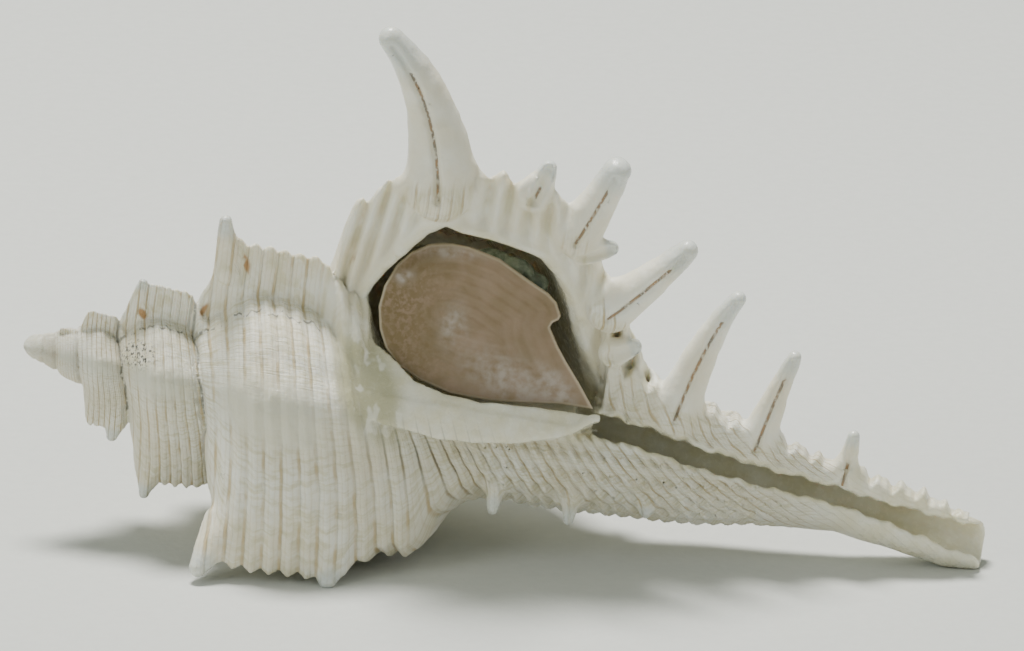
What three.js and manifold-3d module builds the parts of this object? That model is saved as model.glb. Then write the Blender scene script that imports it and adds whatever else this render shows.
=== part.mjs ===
// A murex shell lying on its back varices, aperture to the front, with its operculum in place.
// Millimetres, +Z up. The coiling axis runs along X, apex at the low end and canal at the high end.
// Angles round the axis are in degrees from straight up, growing towards the front (-Y).

import * as THREE from 'three';
import { LoftGeometry } from 'three/addons/geometries/LoftGeometry.js';
import { mergeVertices } from 'three/addons/utils/BufferGeometryUtils.js';
import Module from 'manifold-3d';

const wasm = await Module();
wasm.setup();

// Driving dimensions
const SHELL_LENGTH = 122;
const WHORL_RATIO = 1.84;
const LIP_ANGLE = 5;
const WHORLS = 5;
const SECTORS_PER_TURN = 36;
const SEAM_TUCK = 0.96;
const VARIX_STEPS = [0, -12, -24, -36, -48, -57, -72, -84, -93, -108, -120, -144];
const VARIX_TURNS = VARIX_STEPS.map((step) => step / SECTORS_PER_TURN);
const VARIX_FLARE_TURN = 0.13;
const VARIX_FACE_TURN = 0.018;
const VARIX_FLANK_TURN = 0.13;
const VARIX_FLANK_START = 64;
const VARIX_FLANK_FULL = 74;
const OLD_VARIX_TURN = -1.8;
const OLD_VARIX_GAIN = 1.1;
const VARIX_FLARE_POWER = 2.2;
const RIB_TURN_AFTER_VARIX = 0.172;
const RIB_HALF_WIDTH_TURN = 0.055;
const RIB_HEIGHT = 1.6;
const CORD_HEIGHT = 0.45;
const WAIST_SHARE = 0.06;
const BELLY_START = 38;
const BELLY_LENGTH = 42;
const AXIS_HEIGHT_AT_APEX = 24.35;
const AXIS_PITCH = 7.43;
const AXIS_ROLL = 12;
const GROUND_SIZE = 300;
// The base narrows towards the lip
const BASE_TAPER = 0.35;
const BASE_TAPER_START = 72;
const BASE_TAPER_FULL = 80;
const BASE_TAPER_TURNS = [-0.25, -0.08];

// Half profiles of a full-size whorl: distance along the axis, radius
const WHORL_PROFILE = [
  [36.5, 12.0], [38.5, 15.0], [42, 19.4], [45.5, 23.6], [48.5, 25.8], [52, 26.4], [57, 26.0],
  [62, 24.6], [67.2, 22.4], [72, 19.8], [76, 17.0], [80, 14.2], [84, 11.8], [88, 9.8],
];
const VARIX_PROFILE = [
  [36.5, 18.2], [38.5, 24.5], [40.5, 32.0], [43, 37.6], [46, 38.3], [52, 38.0], [58, 37.6], [63, 37.4],
  [67.2, 33.4], [72.7, 28.6], [76.3, 28.2], [79, 20.6], [82, 16.0], [86, 14.0],
];
const LIP_PROFILE = [
  [36.5, 18.2], [36.8, 26.4], [38, 29.8], [40.2, 32.4], [42.7, 34.6], [47, 35.8], [52, 36.8], [55, 37.4],
  [58, 36.8], [62.7, 35.2], [65, 34.0], [67.4, 30.4], [68.9, 27.0], [70.6, 24.6], [72.2, 21.5], [73.5, 18.4],
  [74.2, 14.5], [75.4, 11.4], [78, 9.8], [82, 8.8], [86, 7.6],
];
// Rows of a whorl, suture to suture, at each cord's crest and groove
const CORD_ROWS = [
  36.5, 37.7, 39.4, 41.2, 42.9, 44.7, 46.4, 48.2, 49.9, 51.7, 53.5, 55.2, 57, 58.7, 60.5, 62.2, 64, 65.7,
];
const SPIRE_ROWS = [36.5, 39, 43, 47.5, 54, 61];
const BASE_ROWS = [67.2, 68.9, 70.6, 72.2, 73.7, 75.1, 76.5, 77.9, 79.5, 81.5, 84, 88];
const APEX_PROFILE = [[-0.4, 0], [-0.1, 0.8], [0.7, 1.25]];

// Siphonal canal: distance along the axis, height of its centre, outer radius
const NECK_PROFILE = [
  [48, -0.4, 6.0], [58, -0.6, 8.4], [66, -0.8, 8.6], [74, -1.0, 8.0], [84, -1.7, 6.9], [92, -2.3, 5.3],
  [103, -3.1, 3.9], [112, -4.7, 3.8], [118, -5.9, 3.6], [SHELL_LENGTH, -6.4, 3.0],
];
// Bore of the canal: distance along the axis, height of its centre, bore radius, width of the slit
const BORE_PROFILE = [
  [69, 2.2, 3.2, 2.6], [72, 1.8, 3.2, 2.9], [78, 1.0, 2.9, 2.7], [85, -0.5, 2.4, 2.5], [92, -1.5, 2.0, 2.3],
  [98, -2.1, 1.8, 2.1], [103, -2.6, 1.7, 2.0], [108, -3.6, 1.7, 2.2], [112, -4.2, 1.8, 2.7],
  [118, -5.4, 2.0, 3.4], [SHELL_LENGTH + 1, -5.9, 2.1, 4.4],
];
const NECK_SIDES = 16;
const SLIT_ANGLE = 58;
const SLIT_REACH = 14;
const BORE_CORNER = 0.7;
const SLIT_START = 0.8;

// Aperture and the hollow behind it: distance along the axis and radius at the lip
const HOLLOW_PROFILE = [
  [38.8, 14.2], [39.9, 15.8], [42.6, 19.3], [45.8, 23.8], [47.4, 26.2], [49.3, 27.6], [51.3, 27.0],
  [54.9, 26.7], [58.8, 26.0], [61.5, 25.2], [63.6, 23.2], [65.5, 20.5], [67, 16.5], [68.3, 12.4],
  [70.1, 8.4], [71.4, 5.6], [66, 4.8], [58, 4.8], [51, 5.0], [46.4, 5.8],
  [44.6, 8.0], [43.2, 10.4], [41.8, 12.8],
];
const HOLLOW_TURNS = [0.14, 0.11, 0.07, 0.03, 0, -0.04, -0.08, -0.13, -0.18, -0.24, -0.3, -0.36, -0.42];
const HOLLOW_FLOOR = 5;
const WALL_THICKNESS = 2.2;

// Spines of the outer lip: root and tip as distance along the axis and height above it, root and tip radius
const SPINES = [
  { root: [47.7, 34], mid: [44.7, 45.2], tip: [38.8, 53.4], radii: [4.6, 2.9, 1.6] },
  { root: [59.5, 34.8], mid: [60.2, 37.2], tip: [60.7, 38.9], radii: [2.2, 1.5, 1.0] },
  { root: [65.4, 30.2], mid: [67.5, 35.6], tip: [69, 40], radii: [2.9, 2.3, 1.8] },
  { root: [66.6, 27.8], mid: [68.6, 28.5], tip: [69.9, 29], radii: [1.6, 1.3, 1.0] },
  { root: [71, 20.4], mid: [75.4, 25.4], tip: [79.3, 30.4], radii: [3.0, 2.2, 1.4] },
  { root: [72.2, 14.3], mid: [73.6, 15], tip: [74.8, 15.5], radii: [1.8, 1.4, 1.0] },
  { root: [81.2, 7.4], mid: [83.5, 17.4], tip: [86.5, 24.8], radii: [2.9, 1.9, 1.0] },
  { root: [91.7, 4.6], mid: [93.2, 12], tip: [94.7, 17.8], radii: [2.3, 1.5, 0.9] },
  { root: [103.2, 1.4], mid: [103.5, 5.2], tip: [103.6, 8], radii: [1.7, 1.1, 0.8] },
];
const SPINE_DEPTH = -2.7;
const SPINE_GROOVE = 0.45;
const SPINE_SIDES = 8;
const SPINE_STATIONS = 6;
const TIP_REACH = 1.4;
const TIP_ROUNDING = 0.55;

// Short worn spine stubs on the older varices: turn, distance along the axis at full size, reach, radius
const STUBS = [
  { turn: -1, along: 43, reach: 44.8, lean: -2.5, radius: 3.6 },
  { turn: -2 / 3, along: 42, reach: 41.0, lean: -3.5, radius: 4.2 },
  { turn: -2 / 3, along: 62.4, reach: 39.6, lean: 0.5, radius: 3.4 },
  { turn: -1 / 3, along: 43, reach: 44, lean: -3, radius: 4.2 },
  { turn: -1 / 3, along: 62, reach: 40.5, lean: 1, radius: 3.2 },
  { turn: -19 / 12, along: 46, reach: 43.5, lean: -0.5, radius: 4.4 },
  { turn: -2, along: 45, reach: 43, lean: -1, radius: 4.4 },
  { turn: -31 / 12, along: 59, reach: 47, lean: 0, radius: 9 },
];
const STUB_ROOT_RADIUS = 30;
// Taper of a stub: share of its reach, share of its radius
const STUB_TAPER = [[0, 1], [0.5, 0.72], [0.85, 0.5], [1, 0.22]];
const STUB_SIDES = 8;
// Small spines of the front varix where it runs on down the canal
const NECK_STUBS = [
  { along: 60.6, reach: 12.4, angle: 125, radius: 1.7 },
  { along: 70.2, reach: 12.2, angle: 125, radius: 1.6 },
  { along: 79.6, reach: 9.6, angle: 125, radius: 1.2 },
  { along: 62, reach: 12.5, angle: 243, radius: 1.7 },
  { along: 74, reach: 12, angle: 243, radius: 1.5 },
];
const NECK_STUB_ROOT = 6;

// Frill of the outer lip along the canal: distance along the axis, top height, bottom height
const CANAL_FRILL = [
  [74, 12.0, 0], [79, 9.8, 0], [84, 8.2, -0.5], [92, 5.9, -1.2], [98, 4.4, -2], [103, 3.0, -2.4],
  [108, 1.9, -3.2], [114, 1.0, -4.2], [119, -1.2, -4.8],
];
const FRILL_FRONT = -3.6;
const FRILL_THICKNESS = 1.9;

// Raised lip of the columella: distance along the axis, start angle, end angle, outer radius, thickness
const COLUMELLA_LIP = [
  [38.8, 22, 58, 9.6, 1.0], [41.5, 18, 62, 12.0, 1.2], [44.6, 29.4, 69.2, 12.6, 1.4],
  [48.5, 43.8, 71.1, 12.5, 1.6],
  [52.4, 47.9, 73.3, 12.4, 1.6], [56.9, 49.7, 72.0, 12.3, 1.6], [61.9, 47.6, 68.9, 12.3, 1.6],
  [66.9, 46.5, 61.9, 12.0, 1.5], [69, 46.2, 57.5, 11.6, 1.3], [71.4, 45.6, 50.5, 11.2, 1.0],
];
const COLUMELLA_ROOT_RADIUS = 4;
const COLUMELLA_ROOT_START = 57;
const COLUMELLA_ROOT_SPAN = 12;
const COLUMELLA_FOOT_SHARE = 0.3;
const COLUMELLA_FOOT_MARGIN = 2;
const COLUMELLA_EDGE_SHARE = 0.8;
const COLUMELLA_CROWN = 0.1;
const COLUMELLA_HOOK_DROP = 0.2;

// Operculum: outline as distance along the axis and height, and the plane that it leans in
const OPERCULUM_OUTLINE = [
  [46.4, 21.4], [48.2, 22.7], [50, 23.2], [52.5, 23.2], [54.5, 22.8], [56.5, 22.4], [59.9, 20.9],
  [63.1, 19.6],
  [64.3, 18.8], [65.1, 17.4], [64.2, 16.5], [64, 16], [65.3, 14.2], [66.8, 12.5], [68.1, 11.2], [69.4, 9.8],
  [71, 8.0], [67, 8.0], [63, 7.5], [58, 7.1], [53, 7.2], [49, 8.2], [46, 9.6], [44.2, 12.4],
  [43.6, 15.6], [44.4, 18.8],
];
const OPERCULUM_LOW_HEIGHT = 8;
const OPERCULUM_LOW_DEPTH = -6.6;
const OPERCULUM_LEAN = THREE.MathUtils.degToRad(29.9);
const OPERCULUM_THICKNESS = 0.9;

// Clear lumps of filler behind the top edge of the operculum: centre and radii
const FILLER_LUMPS = [
  { centre: [55.4, 4.6, 20.6], radii: [2.4, 1.5, 1.4] },
  { centre: [58.8, 4.5, 19.7], radii: [2.3, 1.5, 1.5] },
  { centre: [61.2, 4.2, 18.0], radii: [1.8, 1.5, 1.8] },
];

const radians = THREE.MathUtils.degToRad;
const growth = (turn) => WHORL_RATIO ** turn;
const clamp01 = (value) => THREE.MathUtils.clamp(value, 0, 1);

// A value read from a list of rows, eased between its neighbours
function valueAt(rows, position, column = 1) {
  if (position <= rows[0][0]) return rows[0][column];
  for (let i = 1; i < rows.length; i++) {
    if (position > rows[i][0]) continue;
    const part = (position - rows[i - 1][0]) / (rows[i][0] - rows[i - 1][0]);
    return THREE.MathUtils.lerp(rows[i - 1][column], rows[i][column], part);
  }
  return rows[rows.length - 1][column];
}

// A point of the shell from its distance along the axis, its angle round it and its radius
function shellPoint(along, angle, radius) {
  return new THREE.Vector3(along, -radius * Math.sin(radians(angle)), radius * Math.cos(radians(angle)));
}

// How far a varix stands up at an angle: a slow flare on its older side, and on its newer side
// a face that is steep on the whorl and slants on the base
function varixRise(turn, varixTurn, along) {
  const after = turn - varixTurn;
  const flank = VARIX_FLANK_TURN * THREE.MathUtils.smoothstep(along, VARIX_FLANK_START, VARIX_FLANK_FULL);
  if (after > 0) return 1 - THREE.MathUtils.smoothstep(after, 0, VARIX_FACE_TURN + flank);
  return clamp01(1 + after / VARIX_FLARE_TURN) ** VARIX_FLARE_POWER;
}

function whorlRadius(turn, along) {
  const taper = THREE.MathUtils.smoothstep(along, BASE_TAPER_START, BASE_TAPER_FULL)
    * THREE.MathUtils.smoothstep(turn, ...BASE_TAPER_TURNS);
  const base = valueAt(WHORL_PROFILE, along) * (1 - BASE_TAPER * taper);
  const belly = Math.sin(Math.PI * clamp01((along - BELLY_START) / BELLY_LENGTH));
  const sector = turn * 3 - Math.floor(turn * 3);
  let radius = base * (1 - WAIST_SHARE * Math.sin(Math.PI * sector) ** 2);
  for (const varixTurn of VARIX_TURNS) {
    const gain = varixTurn < OLD_VARIX_TURN ? OLD_VARIX_GAIN : 1;
    const edge = gain * valueAt(varixTurn === 0 ? LIP_PROFILE : VARIX_PROFILE, along);
    const rise = varixRise(turn, varixTurn, along);
    radius = Math.max(radius, base + (edge - base) * rise);
    const offRib = Math.abs(turn - varixTurn - RIB_TURN_AFTER_VARIX) / RIB_HALF_WIDTH_TURN;
    if (offRib < 1) radius += RIB_HEIGHT * belly * Math.cos(Math.PI / 2 * offRib) ** 2;
  }
  return radius;
}

// One half profile of the coiled whorls, apex to base, at one angle round the axis
function bodySection(step) {
  const angle = LIP_ANGLE + 360 * step / SECTORS_PER_TURN;
  const points = APEX_PROFILE.map(([along, radius]) => shellPoint(along, angle, radius));
  for (let whorl = WHORLS - 1; whorl >= 0; whorl--) {
    const turn = step / SECTORS_PER_TURN - 1 - whorl;
    const rows = whorl > 1 ? SPIRE_ROWS : CORD_ROWS;
    const allRows = whorl === 0 ? [...rows, ...BASE_ROWS] : rows;
    allRows.forEach((along, row) => {
      const crest = whorl < 2 && row % 2 === 1 && row > 2 ? CORD_HEIGHT : 0;
      const tuck = step < 0 ? SEAM_TUCK : 1;
      const radius = tuck * (whorlRadius(turn, along) + crest);
      points.push(shellPoint(along * growth(turn), angle, radius * growth(turn)));
    });
  }
  points.push(shellPoint(BASE_ROWS.at(-1) * growth(step / SECTORS_PER_TURN - 1), angle, 0));
  return points;
}

// A closed solid for joining and cutting, from a geometry with merged vertices
function solidFrom(geometry) {
  const bare = new THREE.BufferGeometry().copy(geometry);
  bare.deleteAttribute('normal');
  bare.deleteAttribute('uv');
  const merged = mergeVertices(bare, 1e-4);
  const corners = [];
  for (let i = 0; i < merged.index.count; i += 3) {
    const [a, b, c] = [merged.index.getX(i), merged.index.getX(i + 1), merged.index.getX(i + 2)];
    if (a !== b && b !== c && c !== a) corners.push(a, b, c);
  }
  const vertProperties = new Float32Array(merged.attributes.position.array);
  const triVerts = new Uint32Array(corners);
  return new wasm.Manifold(new wasm.Mesh({ numProp: 3, vertProperties, triVerts }));
}

const centroid = (points) => points.reduce((sum, point) => sum.add(point), new THREE.Vector3())
  .divideScalar(points.length);

// A closed loft through sections, each wound to face along the loft
function loft(sections) {
  const [first, second] = sections;
  const middle = centroid(first);
  const facing = new THREE.Vector3();
  first.forEach((point, i) => {
    const next = first[(i + 1) % first.length].clone().sub(middle);
    facing.add(point.clone().sub(middle).cross(next));
  });
  const forward = facing.dot(centroid(second).sub(middle)) > 0;
  const ordered = forward ? sections : sections.map((points) => points.toReversed());
  return solidFrom(new LoftGeometry(ordered, { capStart: true, capEnd: true }));
}

function ring(centre, across, over, sides, shape) {
  const points = [];
  for (let i = 0; i < sides; i++) {
    const angle = 2 * Math.PI * i / sides;
    const radius = shape(i);
    points.push(centre.clone()
      .addScaledVector(across, radius * Math.sin(angle))
      .addScaledVector(over, radius * Math.cos(angle)));
  }
  return points;
}

// The coiled whorls, lofted in three wedges round the axis that overlap by one sector
function whorls() {
  const wedge = SECTORS_PER_TURN / 3;
  let body = null;
  for (let start = 0; start < SECTORS_PER_TURN; start += wedge) {
    const sections = [];
    for (let step = start - 1; step <= start + wedge; step++) sections.push(bodySection(step));
    const part = loft(sections);
    body = body ? body.add(part) : part;
  }
  return body;
}

function neck() {
  const sections = NECK_PROFILE.map(([along, height, radius]) => ring(
    new THREE.Vector3(along, 0, height), new THREE.Vector3(0, 1, 0), new THREE.Vector3(0, 0, 1),
    NECK_SIDES, () => radius));
  return loft(sections);
}

// Keyhole section of the canal's bore with the slit that opens it to the front
function bore() {
  const sections = BORE_PROFILE.map(([along, height, radius, slit]) => {
    const outward = new THREE.Vector3(0, -Math.sin(radians(SLIT_ANGLE)), Math.cos(radians(SLIT_ANGLE)));
    const sideways = new THREE.Vector3(0, -Math.cos(radians(SLIT_ANGLE)), -Math.sin(radians(SLIT_ANGLE)));
    const centre = new THREE.Vector3(along, 0, height);
    const at = (side, out) => centre.clone().addScaledVector(sideways, side).addScaledVector(outward, out);
    const half = slit / 2;
    const corner = radius * BORE_CORNER;
    return [
      at(-half, SLIT_REACH), at(-half, radius * SLIT_START), at(-radius, 0), at(-corner, -corner),
      at(0, -radius), at(corner, -corner), at(radius, 0), at(half, radius * SLIT_START), at(half, SLIT_REACH),
    ];
  });
  return loft(sections);
}

function hollow() {
  const sections = HOLLOW_TURNS.map((turn) => {
    const scale = growth(Math.min(turn, 0));
    const angle = LIP_ANGLE + 360 * turn;
    return HOLLOW_PROFILE.map(([along, radius]) => {
      const outside = turn > -VARIX_FLARE_TURN
        ? whorlRadius(turn, along)
        : valueAt(WHORL_PROFILE, along) * (1 - WAIST_SHARE);
      const wall = turn < 0 ? outside - WALL_THICKNESS : radius;
      const held = Math.min(radius, Math.max(wall, HOLLOW_FLOOR));
      return shellPoint(along * scale, angle, held * scale);
    });
  });
  return loft(sections);
}

// A tapered spine through three points, with a groove along its front
function spine({ root, mid, tip, radii }) {
  const stations = [root, mid, tip].map(([along, height]) => new THREE.Vector3(along, SPINE_DEPTH, height));
  const ends = stations[0].clone().add(stations[2]);
  const handle = stations[1].clone().multiplyScalar(2).addScaledVector(ends, -0.5);
  const curve = new THREE.QuadraticBezierCurve3(stations[0], handle, stations[2]);
  const front = new THREE.Vector3(0, -1, 0);
  const sections = [];
  for (let i = 0; i <= SPINE_STATIONS; i++) {
    const part = i / SPINE_STATIONS;
    const centre = curve.getPoint(part);
    const side = new THREE.Vector3().crossVectors(curve.getTangent(part), front).normalize();
    const over = new THREE.Vector3().crossVectors(side, curve.getTangent(part)).normalize();
    const radius = part < 0.5
      ? THREE.MathUtils.lerp(radii[0], radii[1], part * 2)
      : THREE.MathUtils.lerp(radii[1], radii[2], part * 2 - 1);
    const facing = over.dot(front) > 0 ? over : over.negate();
    const grooved = radius * (1 - SPINE_GROOVE);
    sections.push(ring(centre, side, facing, SPINE_SIDES, (k) => (k === 0 ? grooved : radius)));
  }
  const end = curve.getPoint(1).addScaledVector(curve.getTangent(1), radii[2] * TIP_REACH);
  sections.push(sections.at(-1).map((point) => point.clone().lerp(end, TIP_ROUNDING)));
  return loft(sections);
}

// A short blunt cone that stands out from the axis
function stub(along, angle, innerRadius, outerRadius, thickness, lean) {
  const outward = new THREE.Vector3(0, -Math.sin(radians(angle)), Math.cos(radians(angle)));
  const around = new THREE.Vector3(0, -Math.cos(radians(angle)), -Math.sin(radians(angle)));
  const axis = new THREE.Vector3(1, 0, 0);
  const sections = [];
  for (const [part, width] of STUB_TAPER) {
    const centre = new THREE.Vector3(along + lean * part, 0, 0)
      .addScaledVector(outward, THREE.MathUtils.lerp(innerRadius, outerRadius, part));
    sections.push(ring(centre, axis, around, STUB_SIDES, () => thickness * width));
  }
  return loft(sections);
}

function varixStubs() {
  return STUBS.map(({ turn, along, reach, lean, radius }) => {
    const scale = growth(turn);
    const angle = LIP_ANGLE + 360 * turn;
    return stub(along * scale, angle, STUB_ROOT_RADIUS * scale, reach * scale, radius * scale, lean * scale);
  });
}

// The frilled edge of the outer lip along the canal
function canalFrill() {
  const outline = new THREE.Shape([
    ...CANAL_FRILL.map(([along, top]) => new THREE.Vector2(along, top)),
    ...CANAL_FRILL.toReversed().map(([along, , bottom]) => new THREE.Vector2(along, bottom)),
  ]);
  const geometry = new THREE.ExtrudeGeometry(outline, { depth: FRILL_THICKNESS, bevelEnabled: false });
  geometry.rotateX(Math.PI / 2);
  geometry.translate(0, FRILL_FRONT + FRILL_THICKNESS, 0);
  return solidFrom(geometry);
}

// The erect edge of the columella: a hooked strip that stands clear of the neck
function columellaLip() {
  const sections = COLUMELLA_LIP.map(([along, start, end, radius, thickness]) => {
    const share = start + (end - start) * COLUMELLA_FOOT_SHARE;
    const foot = Math.max(share, Math.min(COLUMELLA_ROOT_START, end - COLUMELLA_FOOT_MARGIN));
    const middle = (foot + end) / 2;
    return [
      shellPoint(along, foot, COLUMELLA_ROOT_RADIUS),
      shellPoint(along, foot, radius - thickness),
      shellPoint(along, start, radius - thickness * COLUMELLA_EDGE_SHARE),
      shellPoint(along, start, radius),
      shellPoint(along, middle, radius + COLUMELLA_CROWN),
      shellPoint(along, end, radius - COLUMELLA_HOOK_DROP),
      shellPoint(along, end, radius - thickness),
      shellPoint(along, foot + COLUMELLA_ROOT_SPAN, COLUMELLA_ROOT_RADIUS),
    ];
  });
  return loft(sections);
}

// The surface that the shell lies on, as a block below it in the shell's own frame
function restingBlock(placement) {
  const block = new THREE.BoxGeometry(GROUND_SIZE, GROUND_SIZE, GROUND_SIZE);
  block.translate(0, 0, -GROUND_SIZE / 2);
  return solidFrom(block.applyMatrix4(placement.clone().invert()));
}

function shellSolid(placement) {
  let solid = whorls().add(neck()).add(canalFrill());
  for (const piece of [...SPINES.map(spine), ...varixStubs()]) solid = solid.add(piece);
  for (const { along, reach, angle, radius } of NECK_STUBS) {
    solid = solid.add(stub(along, angle, NECK_STUB_ROOT, reach, radius, 0));
  }
  solid = solid.subtract(hollow()).subtract(bore()).add(columellaLip());
  return solid.subtract(restingBlock(placement));
}

// The operculum's plate, leaning back towards its top
function operculumSolid() {
  const outline = new THREE.Shape(OPERCULUM_OUTLINE.map(([along, height]) =>
    new THREE.Vector2(along, (height - OPERCULUM_LOW_HEIGHT) / Math.cos(OPERCULUM_LEAN))));
  const geometry = new THREE.ExtrudeGeometry(outline, { depth: OPERCULUM_THICKNESS, bevelEnabled: false });
  geometry.rotateX(Math.PI / 2 - OPERCULUM_LEAN);
  geometry.translate(0, OPERCULUM_LOW_DEPTH, OPERCULUM_LOW_HEIGHT);
  return solidFrom(geometry);
}

function fillerSolid() {
  let solid = null;
  for (const { centre, radii } of FILLER_LUMPS) {
    const lump = solidFrom(new THREE.SphereGeometry(1, 10, 6).scale(...radii).translate(...centre));
    solid = solid ? solid.add(lump) : lump;
  }
  return solid;
}

// A finished mesh from a solid, in its own finish
function meshFrom(name, solid, finish) {
  const { vertProperties, triVerts } = solid.getMesh();
  const geometry = new THREE.BufferGeometry();
  geometry.setAttribute('position', new THREE.BufferAttribute(new Float32Array(vertProperties), 3));
  geometry.setIndex(new THREE.BufferAttribute(new Uint32Array(triVerts), 1));
  geometry.computeVertexNormals();
  const mesh = new THREE.Mesh(geometry, new THREE.MeshStandardMaterial(finish));
  mesh.name = name;
  return mesh;
}

const murex = new THREE.Group();
murex.rotation.y = radians(AXIS_PITCH);
murex.position.z = AXIS_HEIGHT_AT_APEX;
const rolled = new THREE.Group();
rolled.rotation.x = radians(AXIS_ROLL);
murex.add(rolled);
murex.updateMatrixWorld(true);
const shell = shellSolid(rolled.matrixWorld);
rolled.add(meshFrom('shell', shell, { color: 0xe6dfcb, roughness: 0.45, metalness: 0 }));
rolled.add(meshFrom('operculum', operculumSolid(), { color: 0xa88f78, roughness: 0.55, metalness: 0 }));
rolled.add(meshFrom('filler', fillerSolid(), { color: 0x8fa08c, roughness: 0.3, metalness: 0 }));

// The origin is under the middle of the shell's box
const middle = new THREE.Box3().setFromObject(murex, true).getCenter(new THREE.Vector3());
murex.position.x = -middle.x;
murex.position.y = -middle.y;

export default murex;
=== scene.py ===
"""Murex shell on a pale floor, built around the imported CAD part.

Every surface is grown from one set of formulas for a coiled shell. The formulas give a signed field in
the shell's own frame, in millimetres: the coiling axis is X, from the apex at 0 to the end of the canal
at 122. Angles round the axis are in degrees from straight up, growing towards the front. A field is
turned into a mesh, placed in the part's frame and scaled to metres.
"""

import logging
import math
from dataclasses import dataclass, field, replace
from enum import Enum
from typing import Callable, Iterator

import bpy
import numpy as np
from mathutils import Matrix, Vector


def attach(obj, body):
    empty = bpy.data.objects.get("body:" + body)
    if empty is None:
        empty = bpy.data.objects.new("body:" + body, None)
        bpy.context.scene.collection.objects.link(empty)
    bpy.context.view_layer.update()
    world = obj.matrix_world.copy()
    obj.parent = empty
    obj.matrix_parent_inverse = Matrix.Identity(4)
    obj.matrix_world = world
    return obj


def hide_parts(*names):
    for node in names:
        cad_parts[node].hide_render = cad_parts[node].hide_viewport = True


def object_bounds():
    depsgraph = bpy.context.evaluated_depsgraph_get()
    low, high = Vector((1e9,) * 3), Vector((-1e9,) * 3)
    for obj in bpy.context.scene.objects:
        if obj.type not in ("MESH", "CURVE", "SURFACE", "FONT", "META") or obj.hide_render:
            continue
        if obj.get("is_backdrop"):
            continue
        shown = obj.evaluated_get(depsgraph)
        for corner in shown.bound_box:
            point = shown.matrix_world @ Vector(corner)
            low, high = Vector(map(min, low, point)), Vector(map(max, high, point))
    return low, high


logging.basicConfig(level=logging.INFO, format="%(message)s")
log = logging.getLogger("murex")

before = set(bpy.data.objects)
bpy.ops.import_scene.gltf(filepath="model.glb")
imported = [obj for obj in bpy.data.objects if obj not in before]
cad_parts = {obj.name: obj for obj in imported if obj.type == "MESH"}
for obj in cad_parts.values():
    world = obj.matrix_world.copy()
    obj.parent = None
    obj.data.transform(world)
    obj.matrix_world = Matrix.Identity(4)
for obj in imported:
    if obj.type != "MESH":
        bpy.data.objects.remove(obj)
bounds_at_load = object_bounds()

Points = np.ndarray
Values = np.ndarray
Point = tuple[float, float, float]
Pair = tuple[float, float]
Socket = bpy.types.NodeSocket
Colour = tuple[float, float, float, float]
Feed = Socket | float | Colour

MM = 0.001

SHELL_LENGTH = 122.0
WHORL_RATIO = 1.84
LIP_ANGLE = 5.0
WHORLS = 5
SHOULDER = 36.5
AXIS_ROLL = 12.0
AXIS_PITCH = 7.43
PLACE = (-60.075, -8.042, 24.35)

CAMERA_ELEVATION = 18.0
CAMERA_AZIMUTH = 2.43
CAMERA_ROLL = 1.56
CAMERA_DISTANCE = 3.0
PHOTO_WIDTH = 1024
PHOTO_HEIGHT = 651
PIXELS_PER_MM = 8.0
APEX_PIXEL = (28.0, 345.0)
SENSOR_WIDTH = 36.0
# The front view of the shell: how much of its depth shows as height, and the slope of its axis
FRONT_SHARE = 0.49
FRONT_SLOPE = 0.165


class Slot(str, Enum):
    """Material slots of the record."""

    SHELL = "shell_ivory"
    OPERCULUM = "operculum_horn"
    FILLER = "filler_clear"


class Detail(float, Enum):
    """Width of one cell of the mesh, in millimetres."""

    FINE = 0.34
    QUICK = 0.7
    SMALL = 0.22


def smooth_rows(rows: list[Pair], samples: int = 400) -> tuple[Values, Values]:
    """Draws a smooth curve through rows of two numbers.

    Args:
        rows: Positions and values, positions growing.
        samples: How many samples the curve has.

    Returns:
        The sampled positions and values.
    """
    xs, ys = np.array(rows, float).T
    steps = np.diff(xs)
    rises = np.diff(ys) / steps
    slopes = np.zeros_like(ys)
    same = rises[:-1] * rises[1:] > 0
    slopes[1:-1][same] = 2.0 / (1.0 / rises[:-1][same] + 1.0 / rises[1:][same])
    slopes[0] = rises[0]
    slopes[-1] = rises[-1]
    at = np.linspace(xs[0], xs[-1], samples)
    i = np.clip(np.searchsorted(xs, at) - 1, 0, len(steps) - 1)
    p = (at - xs[i]) / steps[i]
    blend = p * p * (3 - 2 * p)
    values = (
        ys[i] * (1 - blend)
        + ys[i + 1] * blend
        + slopes[i] * steps[i] * p * (1 - p) ** 2
        - slopes[i + 1] * steps[i] * p * p * (1 - p)
    )
    return at, values


def smooth_step(value: Values, low: float, high: float) -> Values:
    """Eases from 0 at low to 1 at high."""
    part = np.clip((value - low) / (high - low), 0, 1)
    return part * part * (3 - 2 * part)


def smooth_max(a: Values, b: Values, width: float) -> Values:
    """The larger of two values, rounded over a width."""
    near = np.maximum(width - np.abs(a - b), 0) / width
    return np.maximum(a, b) + near * near * width * 0.25


def smooth_min(a: Values, b: Values, width: float) -> Values:
    """The smaller of two values, rounded over a width."""
    return -smooth_max(-a, -b, width)


def turn_at(angle: Values) -> Values:
    """Part of a turn before the lip at an angle in degrees, from -1 to 0."""
    return ((angle - LIP_ANGLE) / 360) % 1 - 1


def in_spans(spans: tuple[Pair, ...], *values: Values) -> np.ndarray:
    """Where every value lies between the two ends of its span."""
    return np.all([(value > low) & (value < high) for (low, high), value in zip(spans, values)], axis=0)


class Rows:
    """Rows of numbers, read between the rows along straight lines."""

    def __init__(self, rows: list[tuple[float, ...]]) -> None:
        """Keeps the rows as columns."""
        self.columns = np.array(rows, float).T

    def __call__(self, at: Values) -> list[Values]:
        """Every column after the first one, where the first one has the given values."""
        return [np.interp(at, self.columns[0], column) for column in self.columns[1:]]


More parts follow.
